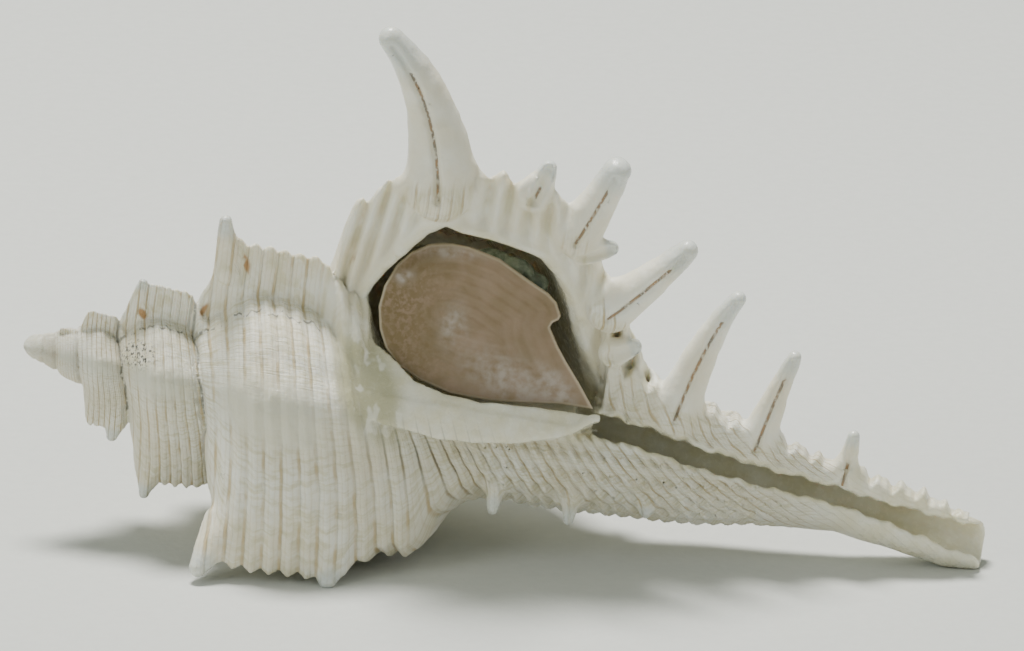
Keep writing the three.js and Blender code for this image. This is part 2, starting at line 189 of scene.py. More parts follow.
class Noise:
    """Seeded smooth noise between -1 and 1."""

    SIDE = 48

    def __init__(self, seed: int) -> None:
        """Makes the lattice of random values."""
        self.lattice = np.random.default_rng(seed).uniform(-1, 1, (self.SIDE,) * 3).astype(np.float32)

    def __call__(self, points: Points, size: float) -> Values:
        """Reads the noise.

        Args:
            points: Where to read it.
            size: Width of one lump.

        Returns:
            One value a point.
        """
        scaled = points / size
        low = np.floor(scaled).astype(int)
        part = scaled - low
        part = part * part * (3 - 2 * part)
        total = np.zeros(len(points))
        for corner in range(8):
            offset = np.array([corner & 1, corner >> 1 & 1, corner >> 2 & 1])
            weight = np.prod(np.where(offset, part, 1 - part), axis=1)
            i, j, k = ((low + offset) % self.SIDE).T
            total += weight * self.lattice[i, j, k]
        return total


@dataclass(frozen=True)
class PolygonShape:
    """A closed outline in a plane."""

    corners: tuple[Pair, ...]

    def inside(self, x: Values, y: Values) -> Values:
        """Distance inside the outline, negative outside it.

        Args:
            x: First coordinates.
            y: Second coordinates.

        Returns:
            Signed distances.
        """
        nearest = np.full(x.shape, np.inf)
        within = np.zeros(x.shape, bool)
        count = len(self.corners)
        for i in range(count):
            ax, ay = self.corners[i]
            bx, by = self.corners[(i + 1) % count]
            ex, ey = bx - ax, by - ay
            part = np.clip(((x - ax) * ex + (y - ay) * ey) / (ex * ex + ey * ey), 0, 1)
            nearest = np.minimum(nearest, (x - ax - part * ex) ** 2 + (y - ay - part * ey) ** 2)
            if ay != by:
                crosses = (ay > y) != (by > y)
                within ^= crosses & (x < ex * (y - ay) / (by - ay) + ax)
        return np.where(within, 1, -1) * np.sqrt(nearest)


@dataclass
class Coil:
    """The growth law of the shell: a spiral of whorls with varices, ribs and cords.

    Turns count the growth, 0 at the lip. Rows and heights are at full size, along the axis and out from it.
    """

    varix_turns: tuple[float, ...] = (
        0, -1 / 3, -2 / 3, -1, -4 / 3, -19 / 12, -2, -7 / 3, -31 / 12, -3, -10 / 3, -4,
    )
    flare_turn: float = 0.13
    face_turn: float = 0.018
    flank_turn: float = 0.13
    old_varix_turn: float = -1.8
    old_varix_gain: float = 1.1
    flank_along: Pair = (64, 74)
    base_taper: float = 0.35
    taper_along: Pair = (72, 80)
    taper_turns: Pair = (-0.25, -0.08)
    belly_along: Pair = (38, 80)
    flare_power: float = 2.2
    hollow_share: float = 0.94
    rib_after: float = 0.172
    rib_half_width: float = 0.055
    rib_height: float = 1.6
    cord_height: float = 0.62
    thread_height: float = 0.16
    frill_height: float = 0.55
    line_height: float = 0.1
    line_degrees: Pair = (3.1, 7.7)
    whorl_rows: list = field(default_factory=lambda: [
        (36.5, 12.0), (38.5, 15.0), (42, 19.4), (45.5, 23.6), (48.5, 25.8), (52, 26.4), (57, 26.0),
        (62, 24.6), (67.2, 22.4), (72, 19.8), (76, 17.0), (80, 14.2), (84, 11.8), (88, 9.4), (92, 4.0),
    ])
    varix_rows: list = field(default_factory=lambda: [
        (36.5, 18.2), (38.5, 24.5), (40.5, 32.0), (43, 37.6), (46, 38.3), (52, 38.0), (58, 37.6),
        (63, 37.4), (67.2, 33.4), (72.7, 28.6), (76.3, 28.2), (79, 20.6), (82, 16.0), (86, 14.0), (92, 7),
    ])
    lip_rows: list = field(default_factory=lambda: [
        (36.5, 18.2), (36.8, 26.4), (38, 29.8), (40.2, 32.4), (42.7, 34.6), (47, 35.8), (52, 36.8),
        (55, 37.4), (58, 36.8), (62.7, 35.2), (65, 34.0), (67.4, 30.4), (68.9, 27.0), (70.6, 24.6),
        (72.2, 21.5), (73.5, 18.4), (74.2, 14.5), (75.4, 11.4), (78, 9.8), (82, 8.8), (86, 7.6), (92, 6),
    ])
    cord_rows: list = field(default_factory=lambda: [
        (34.2, -2), (41.2, 0), (65.7, 7), (68.9, 8), (72.2, 9), (75.1, 10), (77.9, 11), (80.6, 12),
        (200, 56.7),
    ])

    def __post_init__(self) -> None:
        """Samples the profiles."""
        self.whorl = smooth_rows(self.whorl_rows)
        self.varix = smooth_rows(self.varix_rows)
        self.lip = smooth_rows(self.lip_rows)
        self.cords = tuple(np.array(self.cord_rows, float).T)

    def growth(self, turn: Values) -> Values:
        """Size of the shell at a turn, as a share of its full size."""
        return WHORL_RATIO ** turn

    def rise(self, turn: Values, along: Values, varix_turn: float) -> Values:
        """How far a varix stands up, from 0 to 1: its newer face slants more on the base."""
        after = turn - varix_turn
        older = np.clip(1 + after / self.flare_turn, 0, 1) ** self.flare_power
        reach = self.face_turn + self.flank_turn * smooth_step(along, *self.flank_along)
        part = np.clip(after / reach, 0, 1)
        return np.where(after > 0, 1 - part * part * (3 - 2 * part), older)

    def radius(self, turn: Values, along: Values) -> Values:
        """Radius of a whorl at full size.

        Args:
            turn: Growth turn, 0 at the lip and negative before it.
            along: Distance along the axis at full size.

        Returns:
            Radii at full size.
        """
        taper = smooth_step(along, *self.taper_along) * smooth_step(turn, *self.taper_turns)
        base = np.interp(along, *self.whorl) * (1 - self.base_taper * taper)
        belly_start, belly_end = self.belly_along
        belly = np.sin(np.pi * np.clip((along - belly_start) / (belly_end - belly_start), 0, 1))
        radius = base.copy()
        phase = np.interp(along, *self.cords)
        crest = np.cos(np.pi * phase) ** 2
        thread = np.cos(3 * np.pi * phase) ** 2
        flared = np.zeros_like(radius)
        for varix_turn in self.varix_turns:
            reach = self.face_turn + self.flank_turn
            near = (turn > varix_turn - self.flare_turn) & (turn < varix_turn + reach)
            if near.any():
                rows = self.lip if varix_turn == 0 else self.varix
                gain = self.old_varix_gain if varix_turn < self.old_varix_turn else 1
                edge = np.interp(along[near], *rows) * gain + self.frill_height * (crest[near] - 0.5)
                rise = self.rise(turn[near], along[near], varix_turn)
                radius[near] = np.maximum(radius[near], base[near] + (edge - base[near]) * rise)
                flared[near] = np.maximum(flared[near], rise)
            off_rib = np.abs(turn - varix_turn - self.rib_after) / self.rib_half_width
            rib = np.cos(np.pi / 2 * np.clip(off_rib, 0, 1)) ** 2
            radius = radius + self.rib_height * belly * rib
        close, wide = self.line_degrees
        lines = np.sin(turn * 360 / close + 2.0 * np.sin(phase * 2.1)) * np.sin(turn * 360 / wide)
        relief = self.cord_height * (crest - 0.5) + self.thread_height * (thread - 0.5)
        return radius + relief + self.line_height * lines * (0.4 + flared * 1.6)


@dataclass(frozen=True)
class OpenSpine:
    """A bent, tapered spine with a groove along its front."""

    root: Point
    middle: Point
    tip: Point
    radii: Point
    blend: float = 2.4
    groove: float = 0.3
    groove_widening: float = 0.06
    groove_offset: float = 0.98
    stations: int = 9

    def line(self) -> tuple[Points, Values]:
        """Points and radii along the spine."""
        part = np.linspace(0, 1, self.stations)[:, None]
        root, middle, tip = (np.array(p) for p in (self.root, self.middle, self.tip))
        handle = 2 * middle - 0.5 * (root + tip)
        points = (1 - part) ** 2 * root + 2 * part * (1 - part) * handle + part**2 * tip
        return points, np.interp(part[:, 0], (0, 0.5, 1), self.radii)

    def box(self, margin: float) -> tuple[Points, Points]:
        """Corners of the box round the spine."""
        points, _ = self.line()
        return points.min(0) - margin, points.max(0) + margin

    @staticmethod
    def stretches(points: Points, line: Points) -> Iterator[tuple[Values, Values]]:
        """Goes along a line of points.

        Args:
            points: Where to measure.
            line: The line's own points.

        Yields:
            For each stretch of the line, how far along it the points lie, from 0 to 1, and how far off.
        """
        for start, end in zip(line[:-1], line[1:]):
            edge = end - start
            part = np.clip((points - start) @ edge / (edge @ edge), 0, 1)
            yield part, np.linalg.norm(points - start - part[:, None] * edge, axis=1)

    @staticmethod
    def distance(points: Points, line: Points, radii: Values) -> Values:
        """Depth inside a chain of tapered rods, negative outside it."""
        best = np.full(len(points), -np.inf)
        for (part, off), first, last in zip(OpenSpine.stretches(points, line), radii[:-1], radii[1:]):
            best = np.maximum(best, first + (last - first) * part - off)
        return best

    def depth(self, points: Points) -> tuple[Values, Values]:
        """Depth inside the spine.

        Args:
            points: Where to read it.

        Returns:
            The depth inside the grooved spine, and the depth inside the groove.
        """
        line, radii = self.line()
        solid = self.distance(points, line, radii)
        front = line.copy()
        front[:, 1] -= radii * self.groove_offset
        front[-1] = front[-1] * 0.8 + front[-2] * 0.2
        groove = self.distance(points, front, self.groove + radii * self.groove_widening)
        return solid, groove


class ShellField:
    """The whole shell as one signed field, positive inside."""

    # The canal's tube: along the axis, height of its middle, radius
    NECK = Rows([
        (48, -0.4, 6.0), (58, -0.6, 8.4), (66, -0.8, 8.6), (74, -1.0, 8.0), (84, -1.7, 6.9),
        (92, -2.3, 5.3), (103, -3.1, 3.9), (112, -4.7, 3.8), (118, -5.9, 3.6), (122, -6.4, 3.0),
    ])
    NECK_START = 48
    NECK_ROUGH_END = (88, 102)
    NECK_CORD = 0.32
    NECK_BEAD = 0.22
    # The bore of the canal: along the axis, height of its middle, radius, width of its slit
    BORE = Rows([
        (69, 2.2, 3.2, 2.6), (72, 1.8, 3.2, 2.9), (78, 1.0, 2.9, 2.7), (85, -0.5, 2.4, 2.5),
        (92, -1.5, 2.0, 2.3), (98, -2.1, 1.8, 2.1), (103, -2.6, 1.7, 2.0), (108, -3.6, 1.7, 2.2),
        (112, -4.2, 1.8, 2.7), (118, -5.4, 2.0, 3.4), (123, -5.9, 2.1, 4.4),
    ])
    BORE_START = 69.0
    # The first whorls as a cone: distances along the axis, and radii
    APEX_AT = (-0.7, -0.5, 0.0, 0.7, 1.5, 2.75, 5.9, 8.8)
    APEX_RADIUS = (-0.3, 0.5, 1.1, 1.5, 1.7, 2.1, 3.5, 4.4)
    SLIT_ANGLE = 58.0
    # The aperture: along the axis, radius
    HOLLOW = PolygonShape((
        (41.3, 15.6), (41.8, 17.2), (43.2, 19.8), (45.8, 23.8), (47.4, 26.2), (49.3, 27.6), (51.3, 27.0),
        (54.9, 26.7), (58.8, 26.0), (61.5, 25.2), (63.6, 23.2), (65.5, 20.5), (67, 16.5), (68.3, 12.4),
        (70.1, 8.4), (71.4, 5.6), (66, 4.8), (58, 4.8), (51, 5.0), (46.4, 5.8), (44.6, 8.0), (43.2, 10.4),
        (42.0, 12.8),
    ))
    HOLLOW_TURNS = (-0.42, 0.14)
    WALL = 2.2
    # The frilled plate along the canal: along the axis, height of its top, height of its foot
    FRILL = Rows([
        (74, 12.0, 0), (79, 9.8, 0), (84, 8.2, -0.5), (92, 5.9, -1.2), (98, 4.4, -2), (103, 3.0, -2.4),
        (108, 1.9, -3.2), (114, 1.0, -4.2), (119, -1.2, -4.8),
    ])
    FRILL_ALONG = (72, 119.5)
    FRILL_FRONT = -3.6
    FRILL_BACK = -0.8
    FRILL_WAVE = 2.7
    # The columella's lip: along the axis, first and last angle, radius of its top, thickness
    COLUMELLA = Rows([
        (38.8, 22, 58, 9.6, 1.0), (41.5, 18, 62, 12.0, 1.2), (44.6, 29.4, 69.2, 12.6, 1.4),
        (48.5, 43.8, 71.1, 12.5, 1.6), (52.4, 47.9, 73.3, 12.4, 1.6), (56.9, 49.7, 72.0, 12.3, 1.6),
        (61.9, 47.6, 68.9, 12.3, 1.6), (66.9, 46.5, 61.9, 12.0, 1.5), (69, 46.2, 57.5, 11.6, 1.3),
        (71.4, 45.6, 47.2, 11.2, 1.0),
    ])
    COLUMELLA_ALONG = (38, 71.9)
    COLUMELLA_FOOT = 57.0
    COLUMELLA_CORE = 4
    # Spines of the outer lip: root, middle and tip, each along the axis and above it, then three radii
    LIP_SPINES = [
        ((47.7, 34), (44.7, 45.2), (38.8, 53.4), (4.6, 2.9, 1.6)),
        ((59.5, 34.8), (60.2, 37.2), (60.7, 38.9), (2.2, 1.5, 1.0)),
        ((65.4, 30.2), (67.5, 35.6), (69, 40), (2.9, 2.3, 1.8)),
        ((66.6, 27.8), (68.6, 28.5), (69.9, 29), (1.6, 1.3, 1.0)),
        ((71, 20.4), (75.4, 25.4), (79.3, 30.4), (3.0, 2.2, 1.4)),
        ((72.2, 14.3), (73.6, 15), (74.8, 15.5), (1.8, 1.4, 1.0)),
        ((81.2, 7.4), (83.5, 17.4), (86.5, 24.8), (2.9, 1.9, 1.0)),
        ((91.7, 4.6), (93.2, 12), (94.7, 17.8), (2.3, 1.5, 0.9)),
        ((103.2, 1.4), (103.5, 5.2), (103.6, 8), (1.7, 1.1, 0.8)),
    ]
    # Spines that are open scoops: their number, and the radius of the scoop
    SCOOPS = ((1, 0.8), (3, 0.85), (5, 0.9))
    SPINE_DEPTH = -2.7
    # Worn spines of older varices: turn, along the axis, reach, lean, radius of the root
    STUBS = [
        (-1, 43, 44.8, -2.5, 3.6), (-2 / 3, 42, 41.0, -3.5, 4.2), (-2 / 3, 62.4, 39.6, 0.5, 3.4),
        (-1 / 3, 43, 44, -3, 4.2), (-1 / 3, 62, 40.5, 1, 3.2), (-19 / 12, 46, 43.5, -0.5, 4.4),
        (-2, 45, 43, -1, 4.4), (-31 / 12, 59, 47, 0, 9),
    ]
    # Small spines of the canal: along the axis, reach, angle, radius of the root
    NECK_STUBS = [
        (60.6, 12.4, 125, 1.7), (70.2, 12.2, 125, 1.6), (79.6, 9.6, 125, 1.2), (62, 12.5, 243, 1.7),
        (74, 12, 243, 1.5),
    ]
    STUB_NARROWING = (1, 0.72, 0.4)
    STUB_ROOT = 30
    NECK_STUB_ROOT = 6
    # Folds of the lip's face, which fan out from the aperture
    FOLD_SPACING = 2.9
    FOLD_HEIGHT = 0.66
    FAN_MIDDLE = 56
    FAN_SPREAD = 0.22
    FAN_REACH = 12
    LIP_BLEND = 0.9
    CREASE = 0.25
    # Space that the whorls can fill at full size
    MARGIN = 4
    LAST_WHORL_END = 91
    OLDER_WHORL_END = 73
    WIDEST = 46
    SEAM_DEPTH = 0.13
    SEAM_WIDTH = 0.11
    QUARTER = 0.25
    GRAIN = 0.1
    GRAIN_SIZE = 1.5
    # Where each shape can be: spans along the axis, then of y and z, or of angle and radius
    FRILL_SPANS = ((70, 123), (-6.6, 1.4), (-8, 16))
    HOLLOW_SPANS = ((18, 74), (-160, 60), (-1, 34))
    LIP_SPANS = ((37, 74), (20, 100), (-1, 14))
    BORE_SPANS = ((66, 130), (-1, 17))
    NECK_FROM = 44

    def __init__(self, coil: Coil) -> None:
        """Prepares the tables and the spines."""
        self.coil = coil
        self.noise = Noise(11)
        self.spines = [self.lip_spine(*row) for row in self.LIP_SPINES]
        for number, groove in self.SCOOPS:
            self.spines[number] = replace(self.spines[number], groove=groove, blend=1.2)
        self.stubs = [self.varix_stub(*row) for row in self.STUBS]
        self.stubs += [self.neck_stub(*row) for row in self.NECK_STUBS]

    def lip_spine(self, root: tuple, middle: tuple, tip: tuple, radii: tuple) -> OpenSpine:
        """A spine of the outer lip from points given along the axis and above it."""
        points = [(at[0], self.SPINE_DEPTH, at[1]) for at in (root, middle, tip)]
        return OpenSpine(*points, radii)

    @staticmethod
    def outward(along: float, radius: float, angle: float) -> Point:
        """A point at a distance along the axis, a radius and an angle."""
        turn = math.radians(angle)
        return along, -radius * math.sin(turn), radius * math.cos(turn)

    def varix_stub(self, turn: float, along: float, reach: float, lean: float, radius: float) -> OpenSpine:
        """A worn spine on an older varix."""
        size = float(self.coil.growth(turn))
        angle = LIP_ANGLE + 360 * turn
        root = self.STUB_ROOT
        points = [
            self.outward((along + lean * part) * size, (root + (reach - 1.5 - root) * part) * size, angle)
            for part in (0, 0.5, 1)
        ]
        radii = tuple(radius * size * share for share in self.STUB_NARROWING)
        return OpenSpine(*points, radii, blend=2.4 * size, groove=-1)

    def neck_stub(self, along: float, reach: float, angle: float, radius: float) -> OpenSpine:
        """A small spine on the side of the canal."""
        root = self.NECK_STUB_ROOT
        points = [self.outward(along, root + (reach - 0.5 - root) * part, angle) for part in (0, 0.5, 1)]
        radii = tuple(radius * share for share in self.STUB_NARROWING)
        return OpenSpine(*points, radii, blend=1.5, groove=-1)

    @staticmethod
    def suture_wave(turn: Values) -> Values:
        """How far the suture wanders at a turn, at full size."""
        return 0.25 * np.sin(turn * 360 / 5.3) + 0.2 * np.sin(turn * 360 / 9.1)

    def whorl(self, turn: Values, x: Values, r: Values) -> Values:
        """Depth inside one whorl."""
        size = self.coil.growth(turn)
        along = x / size
        shoulder = x - (SHOULDER + self.suture_wave(turn)) * size
        wall = (self.coil.radius(turn, along) * size - r) * 0.8
        return smooth_min(shoulder, wall, 0.8)

    def coiled(self, x: Values, r: Values, angle: Values) -> Values:
        """Depth inside all the whorls, the lip's face included."""
        tau = turn_at(angle)
        depth = np.full(len(x), -50.0)
        ahead = r * np.sin(np.radians(angle - LIP_ANGLE))
        front = tau < self.QUARTER - 1
        behind = tau > -self.QUARTER
        for k in range(WHORLS):
            turn = tau - k
            size = self.coil.growth(turn)
            end = self.LAST_WHORL_END if k == 0 else self.OLDER_WHORL_END
            near = (x > (SHOULDER - self.MARGIN) * size) & (x < end * size) & (r < self.WIDEST * size + 3)
            if not near.any():
                continue
            part = self.whorl(turn[near], x[near], r[near])
            if k == 0:
                cut = behind[near]
                face = self.lip_face(x[near][cut], r[near][cut]) - ahead[near][cut]
                part[cut] = smooth_min(part[cut], face, self.LIP_BLEND)
            depth[near] = smooth_max(depth[near], part, self.CREASE)
        lip = front & (ahead < self.MARGIN) & (x > SHOULDER - self.MARGIN) & (x < 90) & (r < 50)
        if lip.any():
            turn = np.zeros(lip.sum())
            part = self.whorl(turn, x[lip], r[lip])
            face = self.lip_face(x[lip], r[lip]) - ahead[lip]
            depth[lip] = smooth_max(depth[lip], smooth_min(part, face, self.LIP_BLEND), self.CREASE)
        turns = np.log(np.maximum(x, 0.5) / SHOULDER) / math.log(WHORL_RATIO) - tau
        seam = np.exp(-((turns - np.round(turns)) / self.SEAM_WIDTH) ** 2) * smooth_step(x, 0.4, 1.4)
        cone = np.interp(x, self.APEX_AT, self.APEX_RADIUS) * (1 - self.SEAM_DEPTH * seam) - r
        cone = np.minimum(cone * 0.9, 9 - x)
        return smooth_max(depth, cone, 0.8)

    def folds(self, x: Values, out: Values) -> Values:
        """Folds of the lip's face at a distance out from the aperture, from -1 to 1."""
        fan = x + (x - self.FAN_MIDDLE) * self.FAN_SPREAD * np.clip(out, 0, self.FAN_REACH) / self.FAN_REACH
        return np.cos(2 * np.pi * fan / self.FOLD_SPACING)

    def flutes(self, x: Values, r: Values) -> Values:
        """Valleys between the folds of the lip's face, from 0 to 1."""
        out = np.clip(-self.HOLLOW.inside(x, r), 0, None)
        return (0.5 - 0.5 * self.folds(x, out)) * smooth_step(out, 2.2, 4.5)

    def lip_face(self, x: Values, r: Values) -> Values:
        """How far the lip's face stands ahead of its plane: folds that run out from the aperture."""
        out = np.clip(-self.HOLLOW.inside(x, r), 0, None)
        folds = self.FOLD_HEIGHT * self.folds(x, out) * smooth_step(out, 1.2, 3.5)
        bead = 0.7 * np.exp(-((out - 0.9) / 1.1) ** 2)
        cup = 1.1 * smooth_step(out, 2, 12)
        return folds + bead + cup - 0.6

    def hollow(self, x: Values, r: Values, angle: Values) -> Values:
        """Depth inside the hollow behind the aperture."""
        turn = (angle - LIP_ANGLE) / 360
        size = self.coil.growth(np.minimum(turn, 0))
        along = x / size
        ratio = r / size
        depth = self.HOLLOW.inside(along, ratio) * size
        outside = np.interp(along, *self.coil.whorl) * self.coil.hollow_share
        at_lip = turn > -self.coil.flare_turn
        outside[at_lip] = self.coil.radius(np.minimum(turn[at_lip], 0), along[at_lip])
        wall = (outside - self.WALL) * size - r
        depth = np.where(turn < 0, np.minimum(depth, wall), depth)
        low, high = self.HOLLOW_TURNS
        ends = np.minimum(turn - low, high - turn) * 2 * np.pi * r
        return np.minimum(depth, ends)

    def neck(self, x: Values, y: Values, z: Values, angle: Values) -> Values:
        """Depth inside the tube of the canal."""
        middle, radius = self.NECK(x)
        phase = np.interp(x / self.coil.growth(turn_at(angle)), *self.coil.cords)
        cord = np.cos(2 * np.pi * phase) * (1 - smooth_step(x, *self.NECK_ROUGH_END))
        relief = (self.NECK_CORD + self.NECK_BEAD * np.cos(angle * 0.33)) * cord
        tube = radius + relief - np.hypot(y, z - middle)
        return smooth_min(smooth_min(tube, x - self.NECK_START, 1), SHELL_LENGTH - x, 0.8)

    def bore(self, x: Values, y: Values, z: Values) -> Values:
        """Depth inside the bore and slit of the canal."""
        middle, radius, width = self.BORE(x)
        turn = math.radians(self.SLIT_ANGLE)
        up = z - middle
        out = -y * math.sin(turn) + up * math.cos(turn)
        side = -y * math.cos(turn) - up * math.sin(turn)
        edge = 0.16 * np.sin(x * 1.3) + 0.1 * np.sin(x * 2.9)
        tube = radius - np.hypot(y, up)
        slit = np.minimum(width / 2 + edge - np.abs(side), out)
        return np.minimum(smooth_max(tube, slit, 0.6), x - self.BORE_START)

    def frill(self, x: Values, y: Values, z: Values) -> Values:
        """Depth inside the frilled plate along the canal."""
        top, foot = self.FRILL(x)
        fold = np.cos(2 * np.pi * x / self.FRILL_WAVE)
        top = top + 0.45 * fold + 0.25 * np.cos(x * 4.1)
        start, end = self.FRILL_ALONG
        ends = np.minimum(x - start, end - x) * 1.5
        faces = np.minimum(y - self.FRILL_FRONT - 0.22 * fold, self.FRILL_BACK - y)
        return np.minimum(smooth_min(np.minimum(top - z, z - foot) * 0.8, faces, 0.9), ends)

    def columella(self, x: Values, r: Values, angle: Values) -> Values:
        """Depth inside the raised lip of the columella."""
        start, end, top, thick = self.COLUMELLA(x)
        foot = np.maximum(start + (end - start) * 0.3, np.minimum(self.COLUMELLA_FOOT, end - 2))
        left, right = self.COLUMELLA_ALONG
        ends = np.minimum(x - left, (right - x) * 0.25)
        strip = np.minimum(top - r, r - top + thick)
        strip = np.minimum(strip, np.radians(end - angle) * r)
        strip = np.minimum(strip, np.radians(angle - start) * r)
        root = np.minimum(np.radians(angle - foot) * r, np.radians(end - angle) * r)
        root = np.minimum(np.minimum(root, top - r), r - self.COLUMELLA_CORE)
        return np.minimum(smooth_max(strip, root, 1.2), ends)

    def __call__(self, points: Points) -> Values:
        """Depth inside the shell.

        Args:
            points: Where to read it, in the shell's frame.

        Returns:
            One depth a point, negative outside.
        """
        x, y, z = points.T
        r = np.hypot(y, z)
        angle = np.degrees(np.arctan2(-y, z))
        depth = self.coiled(x, r, angle)
        self.join(depth, x > self.NECK_FROM, lambda m: self.neck(x[m], y[m], z[m], angle[m]), 1.6)
        near = in_spans(self.FRILL_SPANS, x, y, z)
        self.join(depth, near, lambda m: self.frill(x[m], y[m], z[m]), 1.0)
        cuts = []
        for spine in self.spines + self.stubs:
            low, high = spine.box(max(spine.radii) + spine.blend + 1)
            near = np.all((points > low) & (points < high), axis=1)
            if near.any():
                solid, groove = spine.depth(points[near])
                depth[near] = smooth_max(depth[near], solid, spine.blend)
                cuts.append((near, groove))
        for near, groove in cuts:
            depth[near] = smooth_min(depth[near], -groove, self.CREASE)
        near = in_spans(self.HOLLOW_SPANS, x, angle, r)
        self.cut(depth, near, lambda m: self.hollow(x[m], r[m], angle[m]), 1.3)
        self.cut(depth, in_spans(self.BORE_SPANS, x, r), lambda m: self.bore(x[m], y[m], z[m]), 0.7)
        near = in_spans(self.LIP_SPANS, x, angle, r)
        self.join(depth, near, lambda m: self.columella(x[m], r[m], angle[m]), 0.7)
        return depth + self.GRAIN * self.noise(points, self.GRAIN_SIZE)

    @staticmethod
    def join(depth: Values, near: Values, shape: Callable, blend: float) -> None:
        """Adds a shape where it is near."""
        if near.any():
            depth[near] = smooth_max(depth[near], shape(near), blend)

    @staticmethod
    def cut(depth: Values, near: Values, shape: Callable, blend: float) -> None:
        """Takes a shape away where it is near."""
        if near.any():
            depth[near] = smooth_min(depth[near], -shape(near), blend)


class Mesher:
    """Turns a signed field into a mesh of quads on a regular grid."""

    # Cells in the width of a coarse one
    COARSE = 3
    # How near the surface coarse cells are read closely, in their widths
    CLOSE = 1.2
    # How often the corners are moved onto the surface, and how far at most, in cells
    SETTLE = 2
    MOST_MOVE = 0.8
    # How far apart the slope of the field is read, in cells, and the least slope squared
    SLOPE_STEP = 0.35
    LEAST_SLOPE = 0.15
    # Points read at once
    CHUNK = 400_000

    def __init__(self, cell: float) -> None:
        """Keeps the width of a cell."""
        self.cell = cell

    def grid_values(self, depth: Callable, low: Points, high: Points) -> tuple[Values, Points]:
        """Reads the field on the grid, closely only near the surface.

        Args:
            depth: The field.
            low: Low corner of the space.
            high: High corner of the space.

        Returns:
            The grid of values, and the low corner.
        """
        step = self.cell * self.COARSE
        counts = np.ceil((high - low) / step).astype(int) + 1
        axes = [low[i] + step * np.arange(counts[i]) for i in range(3)]
        coarse_points = np.stack(np.meshgrid(*axes, indexing="ij"), -1).reshape(-1, 3)
        rough = self.read(depth, coarse_points).reshape(counts)
        close = self.corners_in(np.abs(rough) < step * self.CLOSE) > 0
        changed = close | self.crossed(rough > 0)
        grown = changed.copy()
        for axis in range(3):
            for shift in (1, -1):
                grown |= np.roll(changed, shift, axis)
        fine_counts = (counts - 1) * self.COARSE + 1
        values = rough.astype(np.float32)
        for axis in range(3):
            values = np.repeat(values, self.COARSE, axis)
        values = values[: fine_counts[0], : fine_counts[1], : fine_counts[2]]
        mask = np.zeros(fine_counts, bool)
        cells = np.argwhere(grown) * self.COARSE
        for i, j, k in np.ndindex(*(self.COARSE + 1,) * 3):
            mask[cells[:, 0] + i, cells[:, 1] + j, cells[:, 2] + k] = True
        where = np.argwhere(mask)
        values[mask] = self.read(depth, low + where * self.cell)
        return values, low

    @staticmethod
    def corners_in(chosen: np.ndarray) -> np.ndarray:
        """How many of each cell's eight corners are among the chosen grid points."""
        counts = np.array(chosen.shape) - 1
        total = np.zeros(counts, np.int8)
        for i, j, k in np.ndindex(2, 2, 2):
            total += chosen[i : i + counts[0], j : j + counts[1], k : k + counts[2]]
        return total

    def crossed(self, inside: np.ndarray) -> np.ndarray:
        """Which cells have corners both inside and outside."""
        count = self.corners_in(inside)
        return (count > 0) & (count < 8)

    def read(self, depth: Callable, points: Points) -> Values:
        """Reads the field in parts."""
        parts = [depth(points[i : i + self.CHUNK]) for i in range(0, len(points), self.CHUNK)]
        return np.concatenate(parts)

    def mesh(self, depth: Callable, low: Points, high: Points) -> tuple[Points, np.ndarray]:
        """Makes the surface where the field is zero.

        Args:
            depth: The field.
            low: Low corner of the space.
            high: High corner of the space.

        Returns:
            Corners and quads.
        """
        values, origin = self.grid_values(depth, np.array(low, float), np.array(high, float))
        inside = values > 0
        active = self.crossed(inside)
        cells = np.argwhere(active)
        index = np.full(active.shape, -1, np.int32)
        index[active] = np.arange(len(cells))
        corners = origin + self.middles(values, cells) * self.cell
        corners, faces = self.largest(corners, self.quads(inside, index))
        for _ in range(self.SETTLE):
            corners = self.settled(depth, corners)
        return corners, faces

    @staticmethod
    def middles(values: Values, cells: np.ndarray) -> Points:
        """Middle of the points where the surface crosses the edges of each cell.

        Args:
            values: The grid of values.
            cells: The cells that the surface passes through.

        Returns:
            One point a cell, counted in cells.
        """
        total = np.zeros((len(cells), 3))
        hits = np.zeros(len(cells))
        for axis in range(3):
            for offset in np.ndindex(2, 2):
                start = cells + np.insert(offset, axis, 0)
                a = values[tuple(start.T)]
                b = values[tuple((start + np.eye(3, dtype=int)[axis]).T)]
                crossing = (a > 0) != (b > 0)
                at = start.astype(float)
                at[:, axis] += np.where(crossing, a / np.where(crossing, a - b, 1), 0)
                total[crossing] += at[crossing]
                hits[crossing] += 1
        return total / hits[:, None]

    @staticmethod
    def quads(inside: np.ndarray, index: np.ndarray) -> np.ndarray:
        """Makes a quad round every edge of the grid that the surface crosses.

        Args:
            inside: Which grid points are inside.
            index: Number of each cell's corner.

        Returns:
            The quads, facing out.
        """
        quads = []
        for axis in range(3):
            step = np.eye(3, dtype=int)[axis]
            ahead = tuple(slice(i, None) for i in step)
            back = tuple(slice(None, -1 if i else None) for i in step)
            edges = np.argwhere(inside[ahead] != inside[back])
            across = np.delete(edges, axis, axis=1)
            keep = (across > 0) & (across < np.delete(index.shape, axis))
            edges = edges[keep.all(1)]
            loop = [(edges + np.insert(turn, axis, 0)).T for turn in ((0, 0), (-1, 0), (-1, -1), (0, -1))]
            quad = np.stack([index[tuple(cell)] for cell in loop], 1)
            flip = inside[tuple(edges.T)] != (axis == 1)
            quad[flip] = quad[flip][:, ::-1]
            quads.append(quad)
        return np.concatenate(quads)

